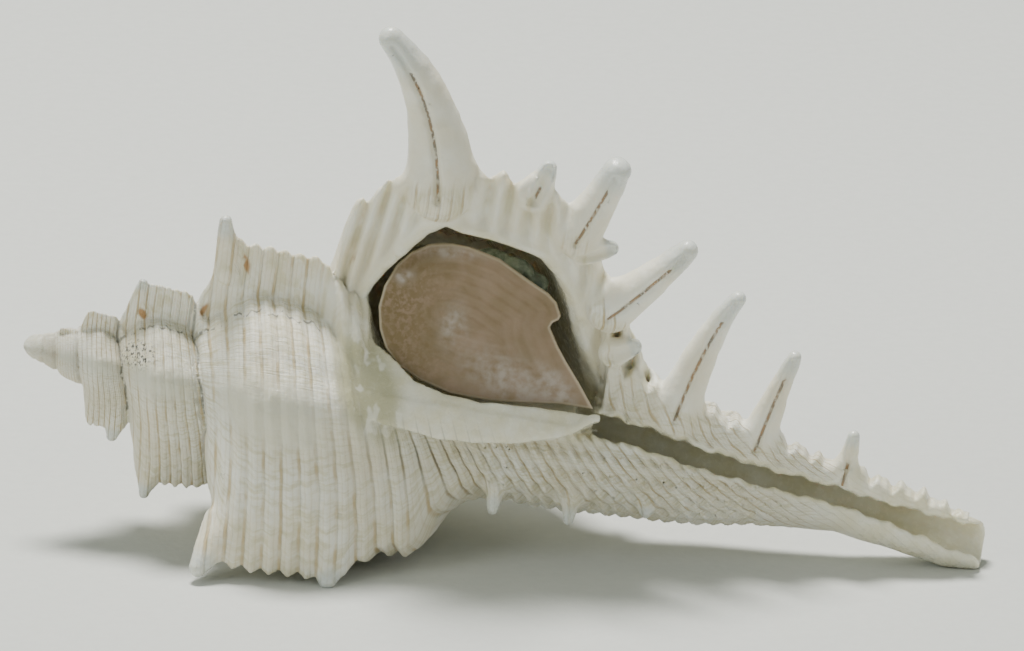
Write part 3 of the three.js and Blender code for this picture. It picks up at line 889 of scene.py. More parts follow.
    @staticmethod
    def largest(corners: Points, faces: np.ndarray) -> tuple[Points, np.ndarray]:
        """Keeps the largest connected surface, without loose crumbs and closed pockets.

        Args:
            corners: All corners.
            faces: All faces.

        Returns:
            The corners and faces that stay.
        """
        label = np.arange(len(corners))
        while True:
            low = label[faces].min(1)
            lower = label.copy()
            np.minimum.at(lower, faces.ravel(), np.repeat(low, faces.shape[1]))
            lower = lower[lower]
            if np.array_equal(lower, label):
                break
            label = lower
        kept = label == np.bincount(label[faces[:, 0]]).argmax()
        number = np.cumsum(kept) - 1
        return corners[kept], number[faces[kept[faces[:, 0]]]]

    def settled(self, depth: Callable, corners: Points) -> Points:
        """Moves the corners along the field's slope onto the surface."""
        step = self.cell * self.SLOPE_STEP
        value = self.read(depth, corners)
        slope = np.zeros_like(corners)
        for axis in range(3):
            shift = np.zeros(3)
            shift[axis] = step
            rise = self.read(depth, corners + shift) - self.read(depth, corners - shift)
            slope[:, axis] = rise / (2 * step)
        size = np.maximum((slope**2).sum(1), self.LEAST_SLOPE)
        move = -value[:, None] * slope / size[:, None]
        length = np.linalg.norm(move, axis=1, keepdims=True)
        return corners + move * np.minimum(1, self.cell * self.MOST_MOVE / np.maximum(length, 1e-9))


def to_part_frame(points: Points) -> Points:
    """Places points of the shell's frame in the part's frame, in metres."""
    roll, pitch = math.radians(AXIS_ROLL), math.radians(AXIS_PITCH)
    rolled = np.array([
        [1, 0, 0],
        [0, math.cos(roll), -math.sin(roll)],
        [0, math.sin(roll), math.cos(roll)],
    ])
    pitched = np.array([
        [math.cos(pitch), 0, math.sin(pitch)],
        [0, 1, 0],
        [-math.sin(pitch), 0, math.cos(pitch)],
    ])
    return (points @ (pitched @ rolled).T + np.array(PLACE)) * MM


def add_object(name: str, corners: Points, faces: np.ndarray) -> bpy.types.Object:
    """Makes an object from corners in metres and quads."""
    mesh = bpy.data.meshes.new(name)
    mesh.from_pydata(corners.tolist(), [], faces.tolist())
    mesh.polygons.foreach_set("use_smooth", np.ones(len(mesh.polygons), bool))
    mesh.update()
    made = bpy.data.objects.new(name, mesh)
    bpy.context.scene.collection.objects.link(made)
    return made


def add_marks(mesh: bpy.types.Mesh, name: str, values: Values) -> None:
    """Stores one number or one vector for each corner of a mesh under a name."""
    kind, key = ("FLOAT", "value") if values.ndim == 1 else ("FLOAT_VECTOR", "vector")
    store = mesh.attributes.new(name, kind, "POINT")
    store.data.foreach_set(key, values.astype(np.float32).ravel())


class ShellMarks:
    """Values over the shell's surface that its finish reads: where each kind of mark is."""

    # How far after an older varix the seam with the next growth runs, in turns
    CRACK_AFTER_VARIX = 0.049
    # The polished band on the crest of each rib, in turns
    POLISH_AFTER_VARIX = 0.186
    POLISH_HALF_WIDTH = 0.04
    # A distance that no line's mark reaches
    FAR = 9.0
    # Where the ribs are polished: where that starts and ends along the axis
    POLISH_START = (38, 44)
    POLISH_END = (58, 66)
    # Depths over which the smooth lining fades: of the hollow, of the columella's lip and of the bore
    LINING_FADE = (-2.4, -0.8)
    LIP_FADE = (-1.2, -0.2)
    BORE_FADE = (-0.9, -0.3)
    LINED_SPANS = ((-10, 75), (-160, 75))
    SMOOTH_CANAL = (96, 108)
    # Shares of a spine's length: where its body starts, its tip starts and its groove ends
    BODY_START = (0.02, 0.12)
    TIP_START = (0.45, 1)
    GROOVE_END = (0.78, 0.86)
    # How far behind a spine's middle its groove's mark fades
    GROOVE_BACK = (-0.8, -0.3)
    # Where the lip's face is: how near its plane, out from the axis, along the axis
    FACE_NEAR = (-2.6, -1.2)
    FACE_OUT = (8, 12)
    FACE_ALONG = (34, 36)
    # Soft patches: right of the apex, above it, half length, half width, tilt, how far forward
    PITS = (
        (27.5, 10.2, 1.6, 0.45, -70, 2), (40.2, 10.3, 1.9, 0.5, 60, 2), (22.1, 4.5, 1.0, 0.5, 60, 2),
        (14.4, 4.0, 0.9, 0.5, -60, 0),
    )
    DEBRIS = (14.0, -1.0, 2.2, 2.6, 90, -3)
    THIN_DEBRIS = (24.5, -15.5, 1.2, 2.0, 0, 0)
    BASE = (50.0, -14.0, 8.0, 3.4, -8, -2)
    INNER_WALL = (42.0, -4.0, 3.4, 8.5, 14, 0)
    GLASSY_WALL = (42.6, -5.2, 3.6, 7.0, 18, 0)

    def __init__(self, shape: ShellField, points: Points) -> None:
        """Works out where each corner lies on the coil.

        Args:
            shape: The shell's field.
            points: Corners in the shell's frame.
        """
        self.shape = shape
        self.points = points
        self.x, self.y, self.z = points.T
        self.r = np.hypot(self.y, self.z)
        self.angle = np.degrees(np.arctan2(-self.y, self.z))
        tau = turn_at(self.angle)
        whorl = np.zeros(len(points))
        for k in range(WHORLS - 1):
            whorl[self.x < (SHOULDER - 0.9) * shape.coil.growth(tau - k)] = k + 1
        self.turn = tau - whorl
        self.size = shape.coil.growth(self.turn)
        self.along = self.x / self.size
        self.across, self.up = self.seen(points)

    @staticmethod
    def seen(points: Points) -> tuple[Values, Values]:
        """Where points show from the front, in millimetres from the apex: to the right, and up."""
        x, y, z = points.T
        height = FRONT_SHARE * y + math.sqrt(1 - FRONT_SHARE**2) * z
        slope = math.atan(FRONT_SLOPE)
        level, drop = math.cos(slope), math.sin(slope)
        return x * level + height * drop, height * level - x * drop

    def spot(self, across: float, up: float, long: float, wide: float, tilt: float, depth: float) -> Values:
        """A soft patch on the front of the shell.

        Args:
            across: Place to the right of the apex.
            up: Place above the apex.
            long: Half length.
            wide: Half width.
            tilt: Tilt of its length in degrees.
            depth: How far forward of the axis the patch starts.

        Returns:
            Values from 0 to 1.
        """
        turned = math.radians(tilt)
        dx, dy = self.across - across, self.up - up
        first = (dx * math.cos(turned) + dy * math.sin(turned)) / long
        second = (dy * math.cos(turned) - dx * math.sin(turned)) / wide
        return np.exp(-(first**2) - second**2) * smooth_step(-self.y, depth - 2, depth)

    def glaze(self) -> Values:
        """Where the aperture's smooth lining covers the shell."""
        lining_with_painted_bounce = smooth_step(self.shape.hollow(self.x, self.r, self.angle), *self.LINING_FADE)
        lining_with_painted_bounce = lining_with_painted_bounce * in_spans(self.LINED_SPANS, self.x, self.angle)
        lip = smooth_step(self.shape.columella(self.x, self.r, self.angle), *self.LIP_FADE)
        bore = smooth_step(self.shape.bore(self.x, self.y, self.z), *self.BORE_FADE)
        wall = 1.4 * self.spot(*self.INNER_WALL)
        end = 0.8 * smooth_step(self.x, *self.SMOOTH_CANAL)
        return np.clip(np.maximum.reduce([lining_with_painted_bounce, lip, bore, wall, end]), 0, 1)

    def spines(self) -> tuple[Values, Values, Values]:
        """Where the spines are, how near a corner is to a tip, and how far from a spine's groove."""
        body = np.zeros(len(self.points))
        tip = np.zeros(len(self.points))
        groove = np.full(len(self.points), self.FAR)
        count = len(self.shape.LIP_SPINES)
        for number, spine in enumerate(self.shape.spines + self.shape.stubs):
            line, radii = spine.line()
            low, high = spine.box(max(spine.radii) + 1.5)
            near = np.all((self.points > low) & (self.points < high), axis=1)
            if not near.any():
                continue
            at = self.points[near]
            best = np.full(len(at), 99.0)
            share = np.zeros(len(at))
            for i, (part, off) in enumerate(spine.stretches(at, line)):
                closer = off < best
                best[closer] = off[closer]
                share[closer] = (i + part[closer]) / (len(line) - 1)
            reach = np.interp(share, np.linspace(0, 1, len(radii)), radii) + 0.9
            held = smooth_step(reach - best, 0, 0.8)
            tip[near] = np.maximum(tip[near], smooth_step(share, *self.TIP_START) * held)
            if number < count:
                body[near] = np.maximum(body[near], held * smooth_step(share, *self.BODY_START))
                flat = np.array([1.0, 0.0, 1.0])
                gap = -spine.distance(at * flat, line * flat, np.zeros(len(line)))
                behind = smooth_step(at[:, 1] - self.shape.SPINE_DEPTH, *self.GROOVE_BACK)
                past = np.maximum(smooth_step(share, *self.GROOVE_END), behind)
                groove[near] = np.minimum(groove[near], gap + self.FAR * past)
        return body, tip, groove

    def suture(self) -> Values:
        """Distance from the line where a whorl meets the one before it."""
        coil = self.shape.coil
        best = np.full(len(self.points), self.FAR)
        tau = turn_at(self.angle)
        for k in range(WHORLS - 1):
            turn = tau - k
            size = coil.growth(turn)
            wave = self.shape.suture_wave(turn)
            older = coil.growth(turn - 1)
            foot = coil.radius(turn - 1, self.x / older) * older
            off = np.hypot(self.x - (SHOULDER + wave) * size, (self.r - foot) * 0.8)
            best = np.minimum(best, off)
        for varix_turn in (-1, -2):
            wander = 0.004 * np.sin(self.along * 1.1) + 0.003 * np.sin(self.along * 2.7)
            after = self.turn - varix_turn - self.CRACK_AFTER_VARIX - wander
            off = np.abs(after) * 2 * np.pi * self.r + self.FAR * (self.along > 64)
            best = np.minimum(best, off)
        return best

    def all(self) -> dict[str, Values]:
        """Every value by its name."""
        coil = self.shape.coil
        phase = np.interp(self.along, *coil.cords)
        rib = np.zeros(len(self.points))
        for varix_turn in coil.varix_turns:
            off = (self.turn - varix_turn - self.POLISH_AFTER_VARIX) / self.POLISH_HALF_WIDTH
            rib = np.maximum(rib, np.exp(-(off**4)))
        rib *= smooth_step(self.along, *self.POLISH_START)
        rib *= 1 - smooth_step(self.along, *self.POLISH_END)
        body, tip, groove = self.spines()
        ahead = self.r * np.sin(np.radians(self.angle - LIP_ANGLE))
        face = smooth_step(-np.abs(ahead - 0.6), *self.FACE_NEAR) * (np.abs(self.angle - LIP_ANGLE) < 90)
        face = face * smooth_step(self.r, *self.FACE_OUT) * smooth_step(self.x, *self.FACE_ALONG)
        pit = sum(self.spot(*row) for row in self.PITS)
        debris = self.spot(*self.DEBRIS) + 0.5 * self.spot(*self.THIN_DEBRIS)
        return {
            "coil": np.stack([phase, self.turn * 36, self.along * 0.1], 1),
            "glaze": self.glaze(),
            "rib": rib,
            "tip": tip,
            "spine_groove": groove,
            "suture": self.suture(),
            "face": np.maximum(face, body),
            "flute": face * (1 - body) * self.shape.flutes(self.x, self.r),
            "glassy": self.spot(*self.GLASSY_WALL),
            "pit": np.clip(pit, 0, 1),
            "debris": np.clip(debris, 0, 1),
            "base_grooves": self.spot(*self.BASE),
        }


@dataclass
class ShellPiece:
    """The shell itself."""

    name: str = "murex_shell"
    most_triangles: int = 196_000
    low: Point = (-2.0, -38.0, -42.0)
    high: Point = (125.0, 38.0, 60.0)
    floor_gap: float = 0.00002

    def build(self) -> bpy.types.Object:
        """Builds the shell's mesh.

        Returns:
            The object, in the part's frame.
        """
        shape = ShellField(Coil())
        cell = Detail.FINE
        corners, faces = Mesher(cell.value).mesh(shape, self.low, self.high)
        log.info("shell: %d corners, %d quads", len(corners), len(faces))
        made = add_object(self.name, corners * MM, faces)
        self.lighten(made, 2 * len(faces))
        local = np.empty(len(made.data.vertices) * 3, np.float32)
        made.data.vertices.foreach_get("co", local)
        local = local.reshape(-1, 3).astype(float) / MM
        placed = to_part_frame(local)
        placed[:, 2] = np.maximum(placed[:, 2], self.floor_gap)
        made.data.vertices.foreach_set("co", placed.astype(np.float32).ravel())
        made.data.update()
        for name, values in ShellMarks(shape, local).all().items():
            add_marks(made.data, name, values)
        return made

    def lighten(self, made: bpy.types.Object, triangles: int) -> None:
        """Thins the mesh where it is flat, down to the most triangles it may have."""
        if triangles <= self.most_triangles:
            return
        thin = made.modifiers.new("thin", "DECIMATE")
        thin.ratio = self.most_triangles / triangles
        bpy.context.view_layer.update()
        graph = bpy.context.evaluated_depsgraph_get()
        result = bpy.data.meshes.new_from_object(made.evaluated_get(graph))
        made.modifiers.clear()
        made.data = result
        log.info("shell: thinned to %d faces", len(result.polygons))

    def dress(self, made: bpy.types.Object) -> None:
        """Gives the shell its place in the part."""
        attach(made, "root")
        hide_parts("shell")
        made.data.materials.append(ShellFinish().make())


@dataclass
class OperculumPiece:
    """The thin horn plate in the aperture."""

    name: str = "murex_operculum"
    lean: float = 29.9
    low_height: float = 8.0
    low_depth: float = -6.6
    thickness: float = 0.9
    dish: float = 0.5
    low: Point = (41, -10, 4)
    high: Point = (73, 6, 26)
    # Pale clouds: along the axis, height, half length, half width, tilt
    clouds: tuple = (
        (52.0, 14.5, 1.6, 2.0, 0.0), (60.0, 9.6, 6.0, 2.2, -0.25), (50.5, 22.3, 3.6, 0.8, 0.1),
        (66.0, 9.8, 2.6, 1.4, -0.6), (45.3, 18.8, 1.0, 0.7, 0.3), (44.6, 18.9, 0.7, 0.5, 0.0),
    )
    outline: PolygonShape = PolygonShape((
        (45.4, 21.6), (47.6, 22.8), (50, 23.2), (52.5, 23.2), (54.5, 22.8), (56.5, 22.4), (59.9, 20.9),
        (63.1, 19.6), (64.3, 18.8), (65.1, 17.4), (64.9, 16.9), (64.2, 16.5), (64, 16), (65.3, 14.2),
        (66.8, 12.5), (68.1, 11.2), (69.4, 9.8), (71, 8.0), (67, 8.0), (63, 7.5), (58, 7.1), (53, 7.2),
        (49, 8.1), (46, 9.3), (44.2, 10.9), (43.1, 12.8), (42.5, 15.2), (42.8, 17.6), (43.9, 20.0),
    ))

    def depth(self, points: Points) -> Values:
        """Depth inside the plate."""
        x, y, z = points.T
        lean = math.radians(self.lean)
        up = z - self.low_height
        back = (y - self.low_depth) * math.cos(lean) - up * math.sin(lean)
        height = up * math.cos(lean) + (y - self.low_depth) * math.sin(lean)
        inside = self.outline.inside(x, height * math.cos(lean) + self.low_height)
        dish = self.dish * smooth_step(inside, 0.4, 6.0)
        ring = 0.012 * np.sin(inside * 5.2) + 0.01 * np.sin(inside * 11.0 + x * 0.4)
        front = self.thickness / 2 - np.abs(back - dish - self.thickness / 2 + 0.12)
        return smooth_min(inside, front + ring, 0.35)

    def build(self) -> bpy.types.Object:
        """Builds the plate."""
        corners, faces = Mesher(Detail.SMALL.value).mesh(self.depth, self.low, self.high)
        log.info("operculum: %d quads", len(faces))
        made = add_object(self.name, to_part_frame(corners), faces)
        for name, values in self.marks(corners).items():
            add_marks(made.data, name, values)
        return made

    def marks(self, points: Points) -> dict[str, Values]:
        """Values over the plate that its finish reads.

        Args:
            points: The plate's corners in the shell's frame.

        Returns:
            Values by name.
        """
        x, _, z = points.T
        edge = self.outline.inside(x, z)
        cloud = np.zeros(len(points))
        for at_x, at_z, long, wide, tilt in self.clouds:
            cos, sin = math.cos(tilt), math.sin(tilt)
            first = ((x - at_x) * cos + (z - at_z) * sin) / long
            second = ((z - at_z) * cos - (x - at_x) * sin) / wide
            cloud += np.exp(-(first**2) - second**2)
        # Darker towards the left end, by the wall: partly the horn's own darker colour, partly painted
        # shade.
        darker_horn_and_shade = 1 - smooth_step(x - 44 + (z - 15) * 0.15, 0, 11)
        return {"edge": edge, "cloud": np.clip(cloud, 0, 1), "darker_horn_and_shade": darker_horn_and_shade}

    def dress(self, made: bpy.types.Object) -> None:
        """Gives the plate its place in the part."""
        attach(made, "root")
        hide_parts("operculum")
        made.data.materials.append(OperculumFinish().make())


@dataclass
class FillerPiece:
    """The clear lumps behind the operculum's top edge."""

    name: str = "murex_filler"
    low: Point = (50, 1, 14)
    high: Point = (65, 8, 24)
    lumps: tuple = (
        ((55.4, 4.6, 20.6), (2.4, 1.5, 1.4)), ((58.8, 4.5, 19.7), (2.3, 1.5, 1.5)),
        ((61.2, 4.2, 18.0), (1.8, 1.5, 1.8)),
    )

    def __post_init__(self) -> None:
        """Prepares the noise."""
        self.noise = Noise(7)

    def depth(self, points: Points) -> Values:
        """Depth inside the lumps."""
        depth = np.full(len(points), -10.0)
        for centre, radii in self.lumps:
            size = np.linalg.norm((points - np.array(centre)) / np.array(radii), axis=1)
            depth = smooth_max(depth, (1 - size) * min(radii), 0.5)
        return depth + 0.2 * self.noise(points, 1.1) - 0.1

    def build(self) -> bpy.types.Object:
        """Builds the lumps."""
        corners, faces = Mesher(Detail.SMALL.value).mesh(self.depth, self.low, self.high)
        log.info("filler: %d quads", len(faces))
        return add_object(self.name, to_part_frame(corners), faces)

    def dress(self, made: bpy.types.Object) -> None:
        """Gives the lumps their place in the part."""
        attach(made, "root")
        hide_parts("filler")
        made.data.materials.append(FillerFinish().make())


class Nodes:
    """Short ways to build a material's node tree, with the colour that is painted so far."""

    def __init__(self, name: str) -> None:
        """Makes an empty material."""
        self.material = bpy.data.materials.new(name)
        self.material.use_nodes = True
        self.tree = self.material.node_tree
        self.tree.nodes.clear()
        self.shader = self.tree.nodes.new("ShaderNodeBsdfPrincipled")
        out = self.tree.nodes.new("ShaderNodeOutputMaterial")
        self.link(self.shader.outputs[0], out.inputs[0])
        place = self.tree.nodes.new("ShaderNodeTexCoord")
        self.here = self.stretch(place.outputs["Object"], (1 / MM, 1 / MM, 1 / MM))
        self.colour: Feed = (1, 1, 1, 1)

    def link(self, source: Socket, target: Socket) -> None:
        """Joins two sockets."""
        self.tree.links.new(source, target)

    def put(self, target: Socket, value: Feed) -> None:
        """Sets a socket, or joins another to it."""
        if isinstance(value, Socket):
            self.link(value, target)
        else:
            target.default_value = value

    def set(self, **values: Feed) -> None:
        """Sets sockets of the shader by name, with spaces as underscores."""
        for name, value in values.items():
            self.put(self.shader.inputs[name.replace("_", " ")], value)

    def mark(self, name: str, output: str = "Fac") -> Socket:
        """A number, or the output named Vector, stored on the mesh."""
        node = self.tree.nodes.new("ShaderNodeAttribute")
        node.attribute_name = name
        return node.outputs[output]

    def stretch(self, vector: Socket, by: Point) -> Socket:
        """A vector times three numbers."""
        node = self.tree.nodes.new("ShaderNodeVectorMath")
        node.operation = "MULTIPLY"
        self.link(vector, node.inputs[0])
        node.inputs[1].default_value = by
        return node.outputs[0]

    def noise(self, scale: float, detail: float = 3.0, at: Socket | None = None) -> Socket:
        """Smooth noise between 0 and 1, lumps to the millimetre, over the part or another vector."""
        node = self.tree.nodes.new("ShaderNodeTexNoise")
        self.link(at or self.here, node.inputs["Vector"])
        node.inputs["Scale"].default_value = scale
        node.inputs["Detail"].default_value = detail
        return node.outputs["Fac"]

    def math(self, operation: str, *values: Feed) -> Socket:
        """One step of arithmetic."""
        node = self.tree.nodes.new("ShaderNodeMath")
        node.operation = operation
        for socket, value in zip(node.inputs, values):
            self.put(socket, value)
        return node.outputs[0]

    def fade(self, value: Socket, low: float, high: float, top: float = 1.0) -> Socket:
        """Eases from 0 where a value is low to a top where it is high."""
        node = self.tree.nodes.new("ShaderNodeMapRange")
        node.interpolation_type = "SMOOTHSTEP"
        self.link(value, node.inputs["Value"])
        node.inputs["From Min"].default_value = low
        node.inputs["From Max"].default_value = high
        node.inputs["To Max"].default_value = top
        return node.outputs[0]

    def cloud(self, scale: float, low: float, high: float, top: float = 1.0, detail: float = 3.0) -> Socket:
        """Soft-edged patches of noise."""
        return self.fade(self.noise(scale, detail), low, high, top)

    def less(self, value: Feed) -> Socket:
        """One less a value."""
        return self.math("SUBTRACT", 1.0, value)

    def times(self, *values: Feed) -> Socket:
        """The product of several values."""
        total = values[0]
        for value in values[1:]:
            total = self.math("MULTIPLY", total, value)
        return total

    def blend(self, share: Feed, first: Feed, second: Feed) -> Socket:
        """Mixes two colours."""
        node = self.tree.nodes.new("ShaderNodeMix")
        node.data_type = "RGBA"
        self.put(node.inputs[0], share)
        self.put(node.inputs[6], first)
        self.put(node.inputs[7], second)
        return node.outputs[2]

    def paint(self, share: Feed, colour: Feed) -> None:
        """Lays a share of a colour over the colour so far."""
        self.colour = self.blend(share, self.colour, colour)

    def waves(self, value: Socket, turns: float) -> Socket:
        """A cosine between 0 and 1 that is 1 at whole numbers."""
        angle = self.math("MULTIPLY", value, 2 * math.pi * turns)
        return self.math("MULTIPLY_ADD", self.math("COSINE", angle), 0.5, 0.5)

    def relief(self, height: Socket, depth: float, strength: float) -> None:
        """Gives the shader a bump from a height between 0 and 1 and its depth in metres."""
        node = self.tree.nodes.new("ShaderNodeBump")
        node.inputs["Distance"].default_value = depth
        node.inputs["Strength"].default_value = strength
        self.link(height, node.inputs["Height"])
        self.link(node.outputs[0], self.shader.inputs["Normal"])


@dataclass(frozen=True)
class ShellFinish:
    """Worn lime shell: ivory, with buff grooves, white growth lines, a polished lining and stained pits."""

    ivory: Colour = (0.78, 0.73, 0.58, 1)
    chalk: Colour = (0.86, 0.85, 0.76, 1)
    buff: Colour = (0.56, 0.43, 0.22, 1)
    shade: Colour = (0.64, 0.60, 0.41, 1)
    # The glaze's own cream, with painted green bounce light added.
    lining_with_painted_bounce: Colour = (0.74, 0.70, 0.52, 1)
    glass: Colour = (0.47, 0.45, 0.29, 1)
    band: Colour = (0.62, 0.61, 0.49, 1)
    tip: Colour = (0.62, 0.67, 0.66, 1)
    rust: Colour = (0.40, 0.20, 0.06, 1)
    grime: Colour = (0.10, 0.10, 0.08, 1)
    worn_rough: float = 0.58
    polished_rough: float = 0.26

    def make(self) -> bpy.types.Material:
        """Builds the finish.

        Returns:
            The material.
        """
        n = Nodes("shell_ivory")
        coil = n.mark("coil", "Vector")
        parts = n.tree.nodes.new("ShaderNodeSeparateXYZ")
        n.link(coil, parts.inputs[0])
        glaze, rib, tip, flute = (n.mark(name) for name in ("glaze", "rib", "tip", "flute"))
        plain = n.less(glaze)
        unpolished = n.times(plain, n.less(n.mark("face")), n.less(n.times(rib, 0.75)))

        wander = n.times(n.math("SUBTRACT", n.noise(0.35), 0.5), 0.2)
        cords = n.math("ADD", parts.outputs[0], wander)
        groove = n.fade(n.waves(cords, 1.0), 0.16, 0.0)
        thread = n.fade(n.waves(cords, 3.0), 0.25, 0.0)
        streaks = n.noise(1.6, 4.0, n.stretch(coil, (0.5, 3.2, 1.0)))
        lines = n.noise(1.5, 3.0, n.stretch(coil, (0.25, 9.0, 1.0)))
        stain = n.cloud(0.3, 0.34, 0.66, 0.85)

        n.colour = n.blend(n.cloud(0.12, 0.35, 0.7), self.ivory, self.chalk)
        n.paint(n.times(n.fade(streaks, 0.45, 0.66, 0.75), unpolished), self.shade)
        n.paint(n.times(n.fade(lines, 0.52, 0.7, 0.5), unpolished), self.chalk)
        n.paint(n.times(groove, stain, unpolished), self.buff)
        n.paint(n.times(thread, unpolished, 0.16), self.buff)
        n.paint(n.times(n.fade(flute, 0.35, 1.0), n.cloud(0.28, 0.3, 0.6), 0.75), self.shade)
        n.paint(n.times(n.fade(flute, 0.75, 1.0), stain, 0.4), self.buff)
        # Lining of the aperture: its own glaze colour, plus painted green bounce light.
        lined = n.blend(n.cloud(0.3, 0.35, 0.7, 0.7, 4.0), self.lining_with_painted_bounce, self.chalk)
        n.paint(n.fade(glaze, 0.2, 0.9), lined)
        swirl = n.noise(0.5, 2.0, n.stretch(n.here, (1.0, 1.0, 0.45)))
        glassy = n.blend(n.fade(swirl, 0.56, 0.64, 0.6), self.glass, self.chalk)
        n.paint(n.fade(n.mark("glassy"), 0.12, 0.6, 0.9), glassy)
        n.paint(n.times(rib, plain, 0.72), self.band)
        n.paint(n.fade(tip, 0.25, 1.0, 0.62), self.tip)
        crack = n.fade(n.mark("suture"), 0.26, 0.08, 0.8)
        n.paint(n.times(crack, n.cloud(0.8, 0.2, 0.42), 0.85), self.grime)
        base = n.times(n.fade(n.waves(cords, 1.0), 0.07, 0.0), n.mark("base_grooves"), 0.75)
        n.paint(base, self.grime)
        slit = n.times(n.fade(n.mark("spine_groove"), 0.24, 0.1, 0.85), n.cloud(0.3, 0.3, 0.45))
        n.paint(slit, n.blend(n.cloud(0.5, 0.35, 0.65, 0.8), self.rust, self.grime))
        n.paint(n.fade(n.mark("pit"), 0.25, 0.7, 0.9), self.rust)
        specks = n.times(n.cloud(2.6, 0.52, 0.6, detail=4.0), n.fade(n.mark("debris"), 0.25, 0.8))
        n.paint(specks, self.grime)

        smooth = n.math("MAXIMUM", n.fade(glaze, 0.2, 0.9), n.math("MAXIMUM", n.times(rib, 0.8), tip))
        rough = n.math("MULTIPLY_ADD", smooth, self.polished_rough - self.worn_rough, self.worn_rough)
        grain = n.times(n.math("SUBTRACT", n.noise(1.4), 0.5), 0.22)
        n.set(Base_Color=n.colour, Roughness=n.math("ADD", rough, grain))
        n.set(Subsurface_Weight=0.22, Subsurface_Radius=(1.0, 0.85, 0.6), Subsurface_Scale=0.0016)
        n.set(Coat_Weight=0.1, Coat_Roughness=0.25)

        height = n.math("ADD", n.times(n.noise(1.1, 5.0), 0.5), n.times(lines, unpolished, 0.55))
        cuts = ((groove, unpolished, 0.6), (thread, unpolished, 0.12), (slit, 0.9), (crack, 0.5))
        for cut in cuts:
            height = n.math("SUBTRACT", height, n.times(*cut))
        n.relief(height, depth=0.0004, strength=0.7)
        return n.material


@dataclass(frozen=True)
class OperculumFinish:
    """Dull horn: pinkish brown with darker rings, cloudy white spots, a pale edge, and a darker left end
    that is partly painted shade.
    """

    horn: Colour = (0.33, 0.235, 0.16, 1)
    # Darker horn for the blotches, also painted as shade at the plate's left end.
    darker_horn_and_shade: Colour = (0.20, 0.14, 0.06, 1)
    pale: Colour = (0.58, 0.50, 0.38, 1)
    cloud: Colour = (0.50, 0.44, 0.40, 1)

    def make(self) -> bpy.types.Material:
        """Builds the finish.

        Returns:
            The material.
        """
        n = Nodes("operculum_horn")
        edge = n.mark("edge")
        blotch = n.noise(0.25, 4.0)
        grain = n.noise(1.6, 5.0)
        rings = n.waves(n.math("ADD", edge, n.times(n.noise(0.3), 1.4)), 0.8)
        n.colour = n.blend(n.fade(blotch, 0.35, 0.7, 0.7), self.horn, self.darker_horn_and_shade)
        # Painted shade, with some darker horn, at the left end of the plate.
        n.paint(n.times(n.mark("darker_horn_and_shade"), n.fade(grain, 0.3, 0.6), 0.9), self.darker_horn_and_shade)
        n.paint(n.times(rings, n.fade(blotch, 0.3, 0.7), 0.07), self.pale)
        n.paint(n.times(n.mark("cloud"), n.cloud(0.9, 0.2, 0.75), 0.85), self.cloud)
        n.paint(n.fade(edge, 0.42, 0.1, 0.75), self.pale)
        n.set(Base_Color=n.colour, Roughness=n.math("MULTIPLY_ADD", grain, 0.25, 0.34))
        n.set(Subsurface_Weight=0.12, Subsurface_Radius=(1.0, 0.6, 0.4), Subsurface_Scale=0.001)
        height = n.math("ADD", n.times(rings, 0.12), n.times(grain, 0.5))
        n.relief(height, depth=0.00014, strength=0.5)
        return n.material


@dataclass(frozen=True)
class FillerFinish:
    """Glossy grey-green filler with darker, cloudy parts."""

    green: Colour = (0.33, 0.38, 0.28, 1)
    deep: Colour = (0.13, 0.16, 0.12, 1)

    def make(self) -> bpy.types.Material:
        """Builds the finish."""
        n = Nodes("filler_clear")
        n.set(Base_Color=n.blend(n.cloud(0.7, 0.35, 0.65, detail=4.0), self.green, self.deep))
        n.set(Roughness=n.cloud(1.3, 0.2, 0.9, 0.4), Coat_Weight=0.5, Coat_Roughness=0.12)
        n.set(Subsurface_Weight=0.3, Subsurface_Radius=(0.7, 1.0, 0.7), Subsurface_Scale=0.0012)
        n.relief(n.noise(1.2, 4.0), depth=0.0003, strength=0.6)
        return n.material


@dataclass(frozen=True)
class PaperFinish:
    """Plain pale paper with a faint grain."""

    sheet: Colour = (0.66, 0.67, 0.64, 1)
    fibre: Colour = (0.60, 0.61, 0.58, 1)

    def make(self) -> bpy.types.Material:
        """Builds the finish."""
        n = Nodes("floor_paper")
        n.set(Base_Color=n.blend(n.noise(0.6, 4.0), self.sheet, self.fibre), Roughness=0.85)
        n.relief(n.noise(0.9), depth=0.00012, strength=0.5)
        return n.material


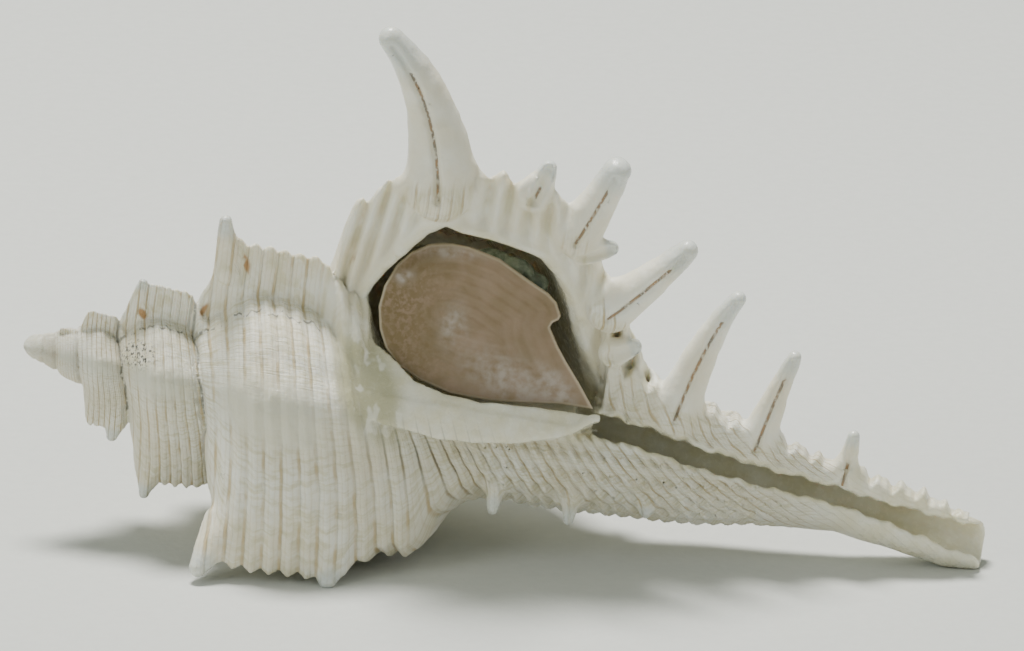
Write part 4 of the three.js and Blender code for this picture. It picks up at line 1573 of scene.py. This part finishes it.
@dataclass
class Studio:
    """Floor, lights and camera."""

    floor_size: float = 3.0
    # Soft lights: name, place, width, power, colour
    lights: tuple = (
        ("overhead", (-0.12, 0.18, 0.85), 0.26, 13.0, (1, 0.99, 0.95)),
        ("front_left", (-0.7, -0.6, 0.5), 0.5, 2.5, (0.96, 1, 0.95)),
        ("right", (0.8, -0.25, 0.35), 0.3, 1.0, (1, 0.98, 0.94)),
    )
    room_colour: Colour = (0.9, 1.0, 0.93, 1)
    room_strength: float = 0.3

    def floor(self) -> None:
        """Lays the floor."""
        half = self.floor_size / 2
        corners = np.array([(-half, -half, 0), (half, -half, 0), (half, half, 0), (-half, half, 0)])
        made = add_object("floor", corners, np.array([[0, 1, 2, 3]]))
        made.data.materials.append(PaperFinish().make())
        made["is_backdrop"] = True

    def light(self, name: str, place: tuple, size: float, power: float, color: tuple) -> None:
        """Hangs one soft light that faces the shell."""
        data = bpy.data.lights.new(name, "AREA")
        data.shape = "DISK"
        data.size = size
        data.energy = power
        data.color = color
        lamp = bpy.data.objects.new(name, data)
        bpy.context.scene.collection.objects.link(lamp)
        lamp.location = place
        towards = -np.array(place) / np.linalg.norm(place)
        lamp.rotation_euler = (math.acos(-towards[2]), 0, math.atan2(towards[1], towards[0]) - math.pi / 2)

    def camera(self) -> None:
        """Places the camera as in the photo."""
        up, side, roll = (math.radians(v) for v in (CAMERA_ELEVATION, CAMERA_AZIMUTH, CAMERA_ROLL))
        back = np.array([math.sin(side) * math.cos(up), -math.cos(side) * math.cos(up), math.sin(up)])
        level = np.array([math.cos(side), math.sin(side), 0])
        over = np.cross(back, level)
        right = level * math.cos(roll) + over * math.sin(roll)
        over = np.cross(back, right)
        apex = np.array(PLACE)
        across = (PHOTO_WIDTH / 2 - APEX_PIXEL[0]) / PIXELS_PER_MM
        above = (APEX_PIXEL[1] - PHOTO_HEIGHT / 2) / PIXELS_PER_MM
        aim = (apex + right * across + over * above) * MM
        data = bpy.data.cameras.new("camera")
        data.lens = SENSOR_WIDTH * CAMERA_DISTANCE * PIXELS_PER_MM / (PHOTO_WIDTH * MM)
        data.sensor_width = SENSOR_WIDTH
        data.clip_end = 100
        made = bpy.data.objects.new("camera", data)
        bpy.context.scene.collection.objects.link(made)
        turned = Matrix((right, over, back)).transposed().to_4x4()
        made.matrix_world = Matrix.Translation(aim + back * CAMERA_DISTANCE) @ turned
        bpy.context.scene.camera = made

    def build(self) -> None:
        """Sets the whole studio."""
        self.floor()
        for light in self.lights:
            self.light(*light)
        world = bpy.data.worlds.new("room")
        world.use_nodes = True
        background = world.node_tree.nodes["Background"]
        background.inputs[0].default_value = self.room_colour
        background.inputs[1].default_value = self.room_strength
        bpy.context.scene.world = world
        self.camera()


def main() -> None:
    for piece in (ShellPiece(), OperculumPiece(), FillerPiece()):
        made = piece.build()
        piece.dress(made)
        log.info("%s is in place", made.name)
    Studio().build()
    {"at_load": plain(bounds_at_load), "at_finish": plain(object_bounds())}


def plain(bounds: tuple) -> list[list[float]]:
    """Two corners as plain lists."""
    return [list(map(float, corner)) for corner in bounds]


if __name__ == "__main__":
    main()
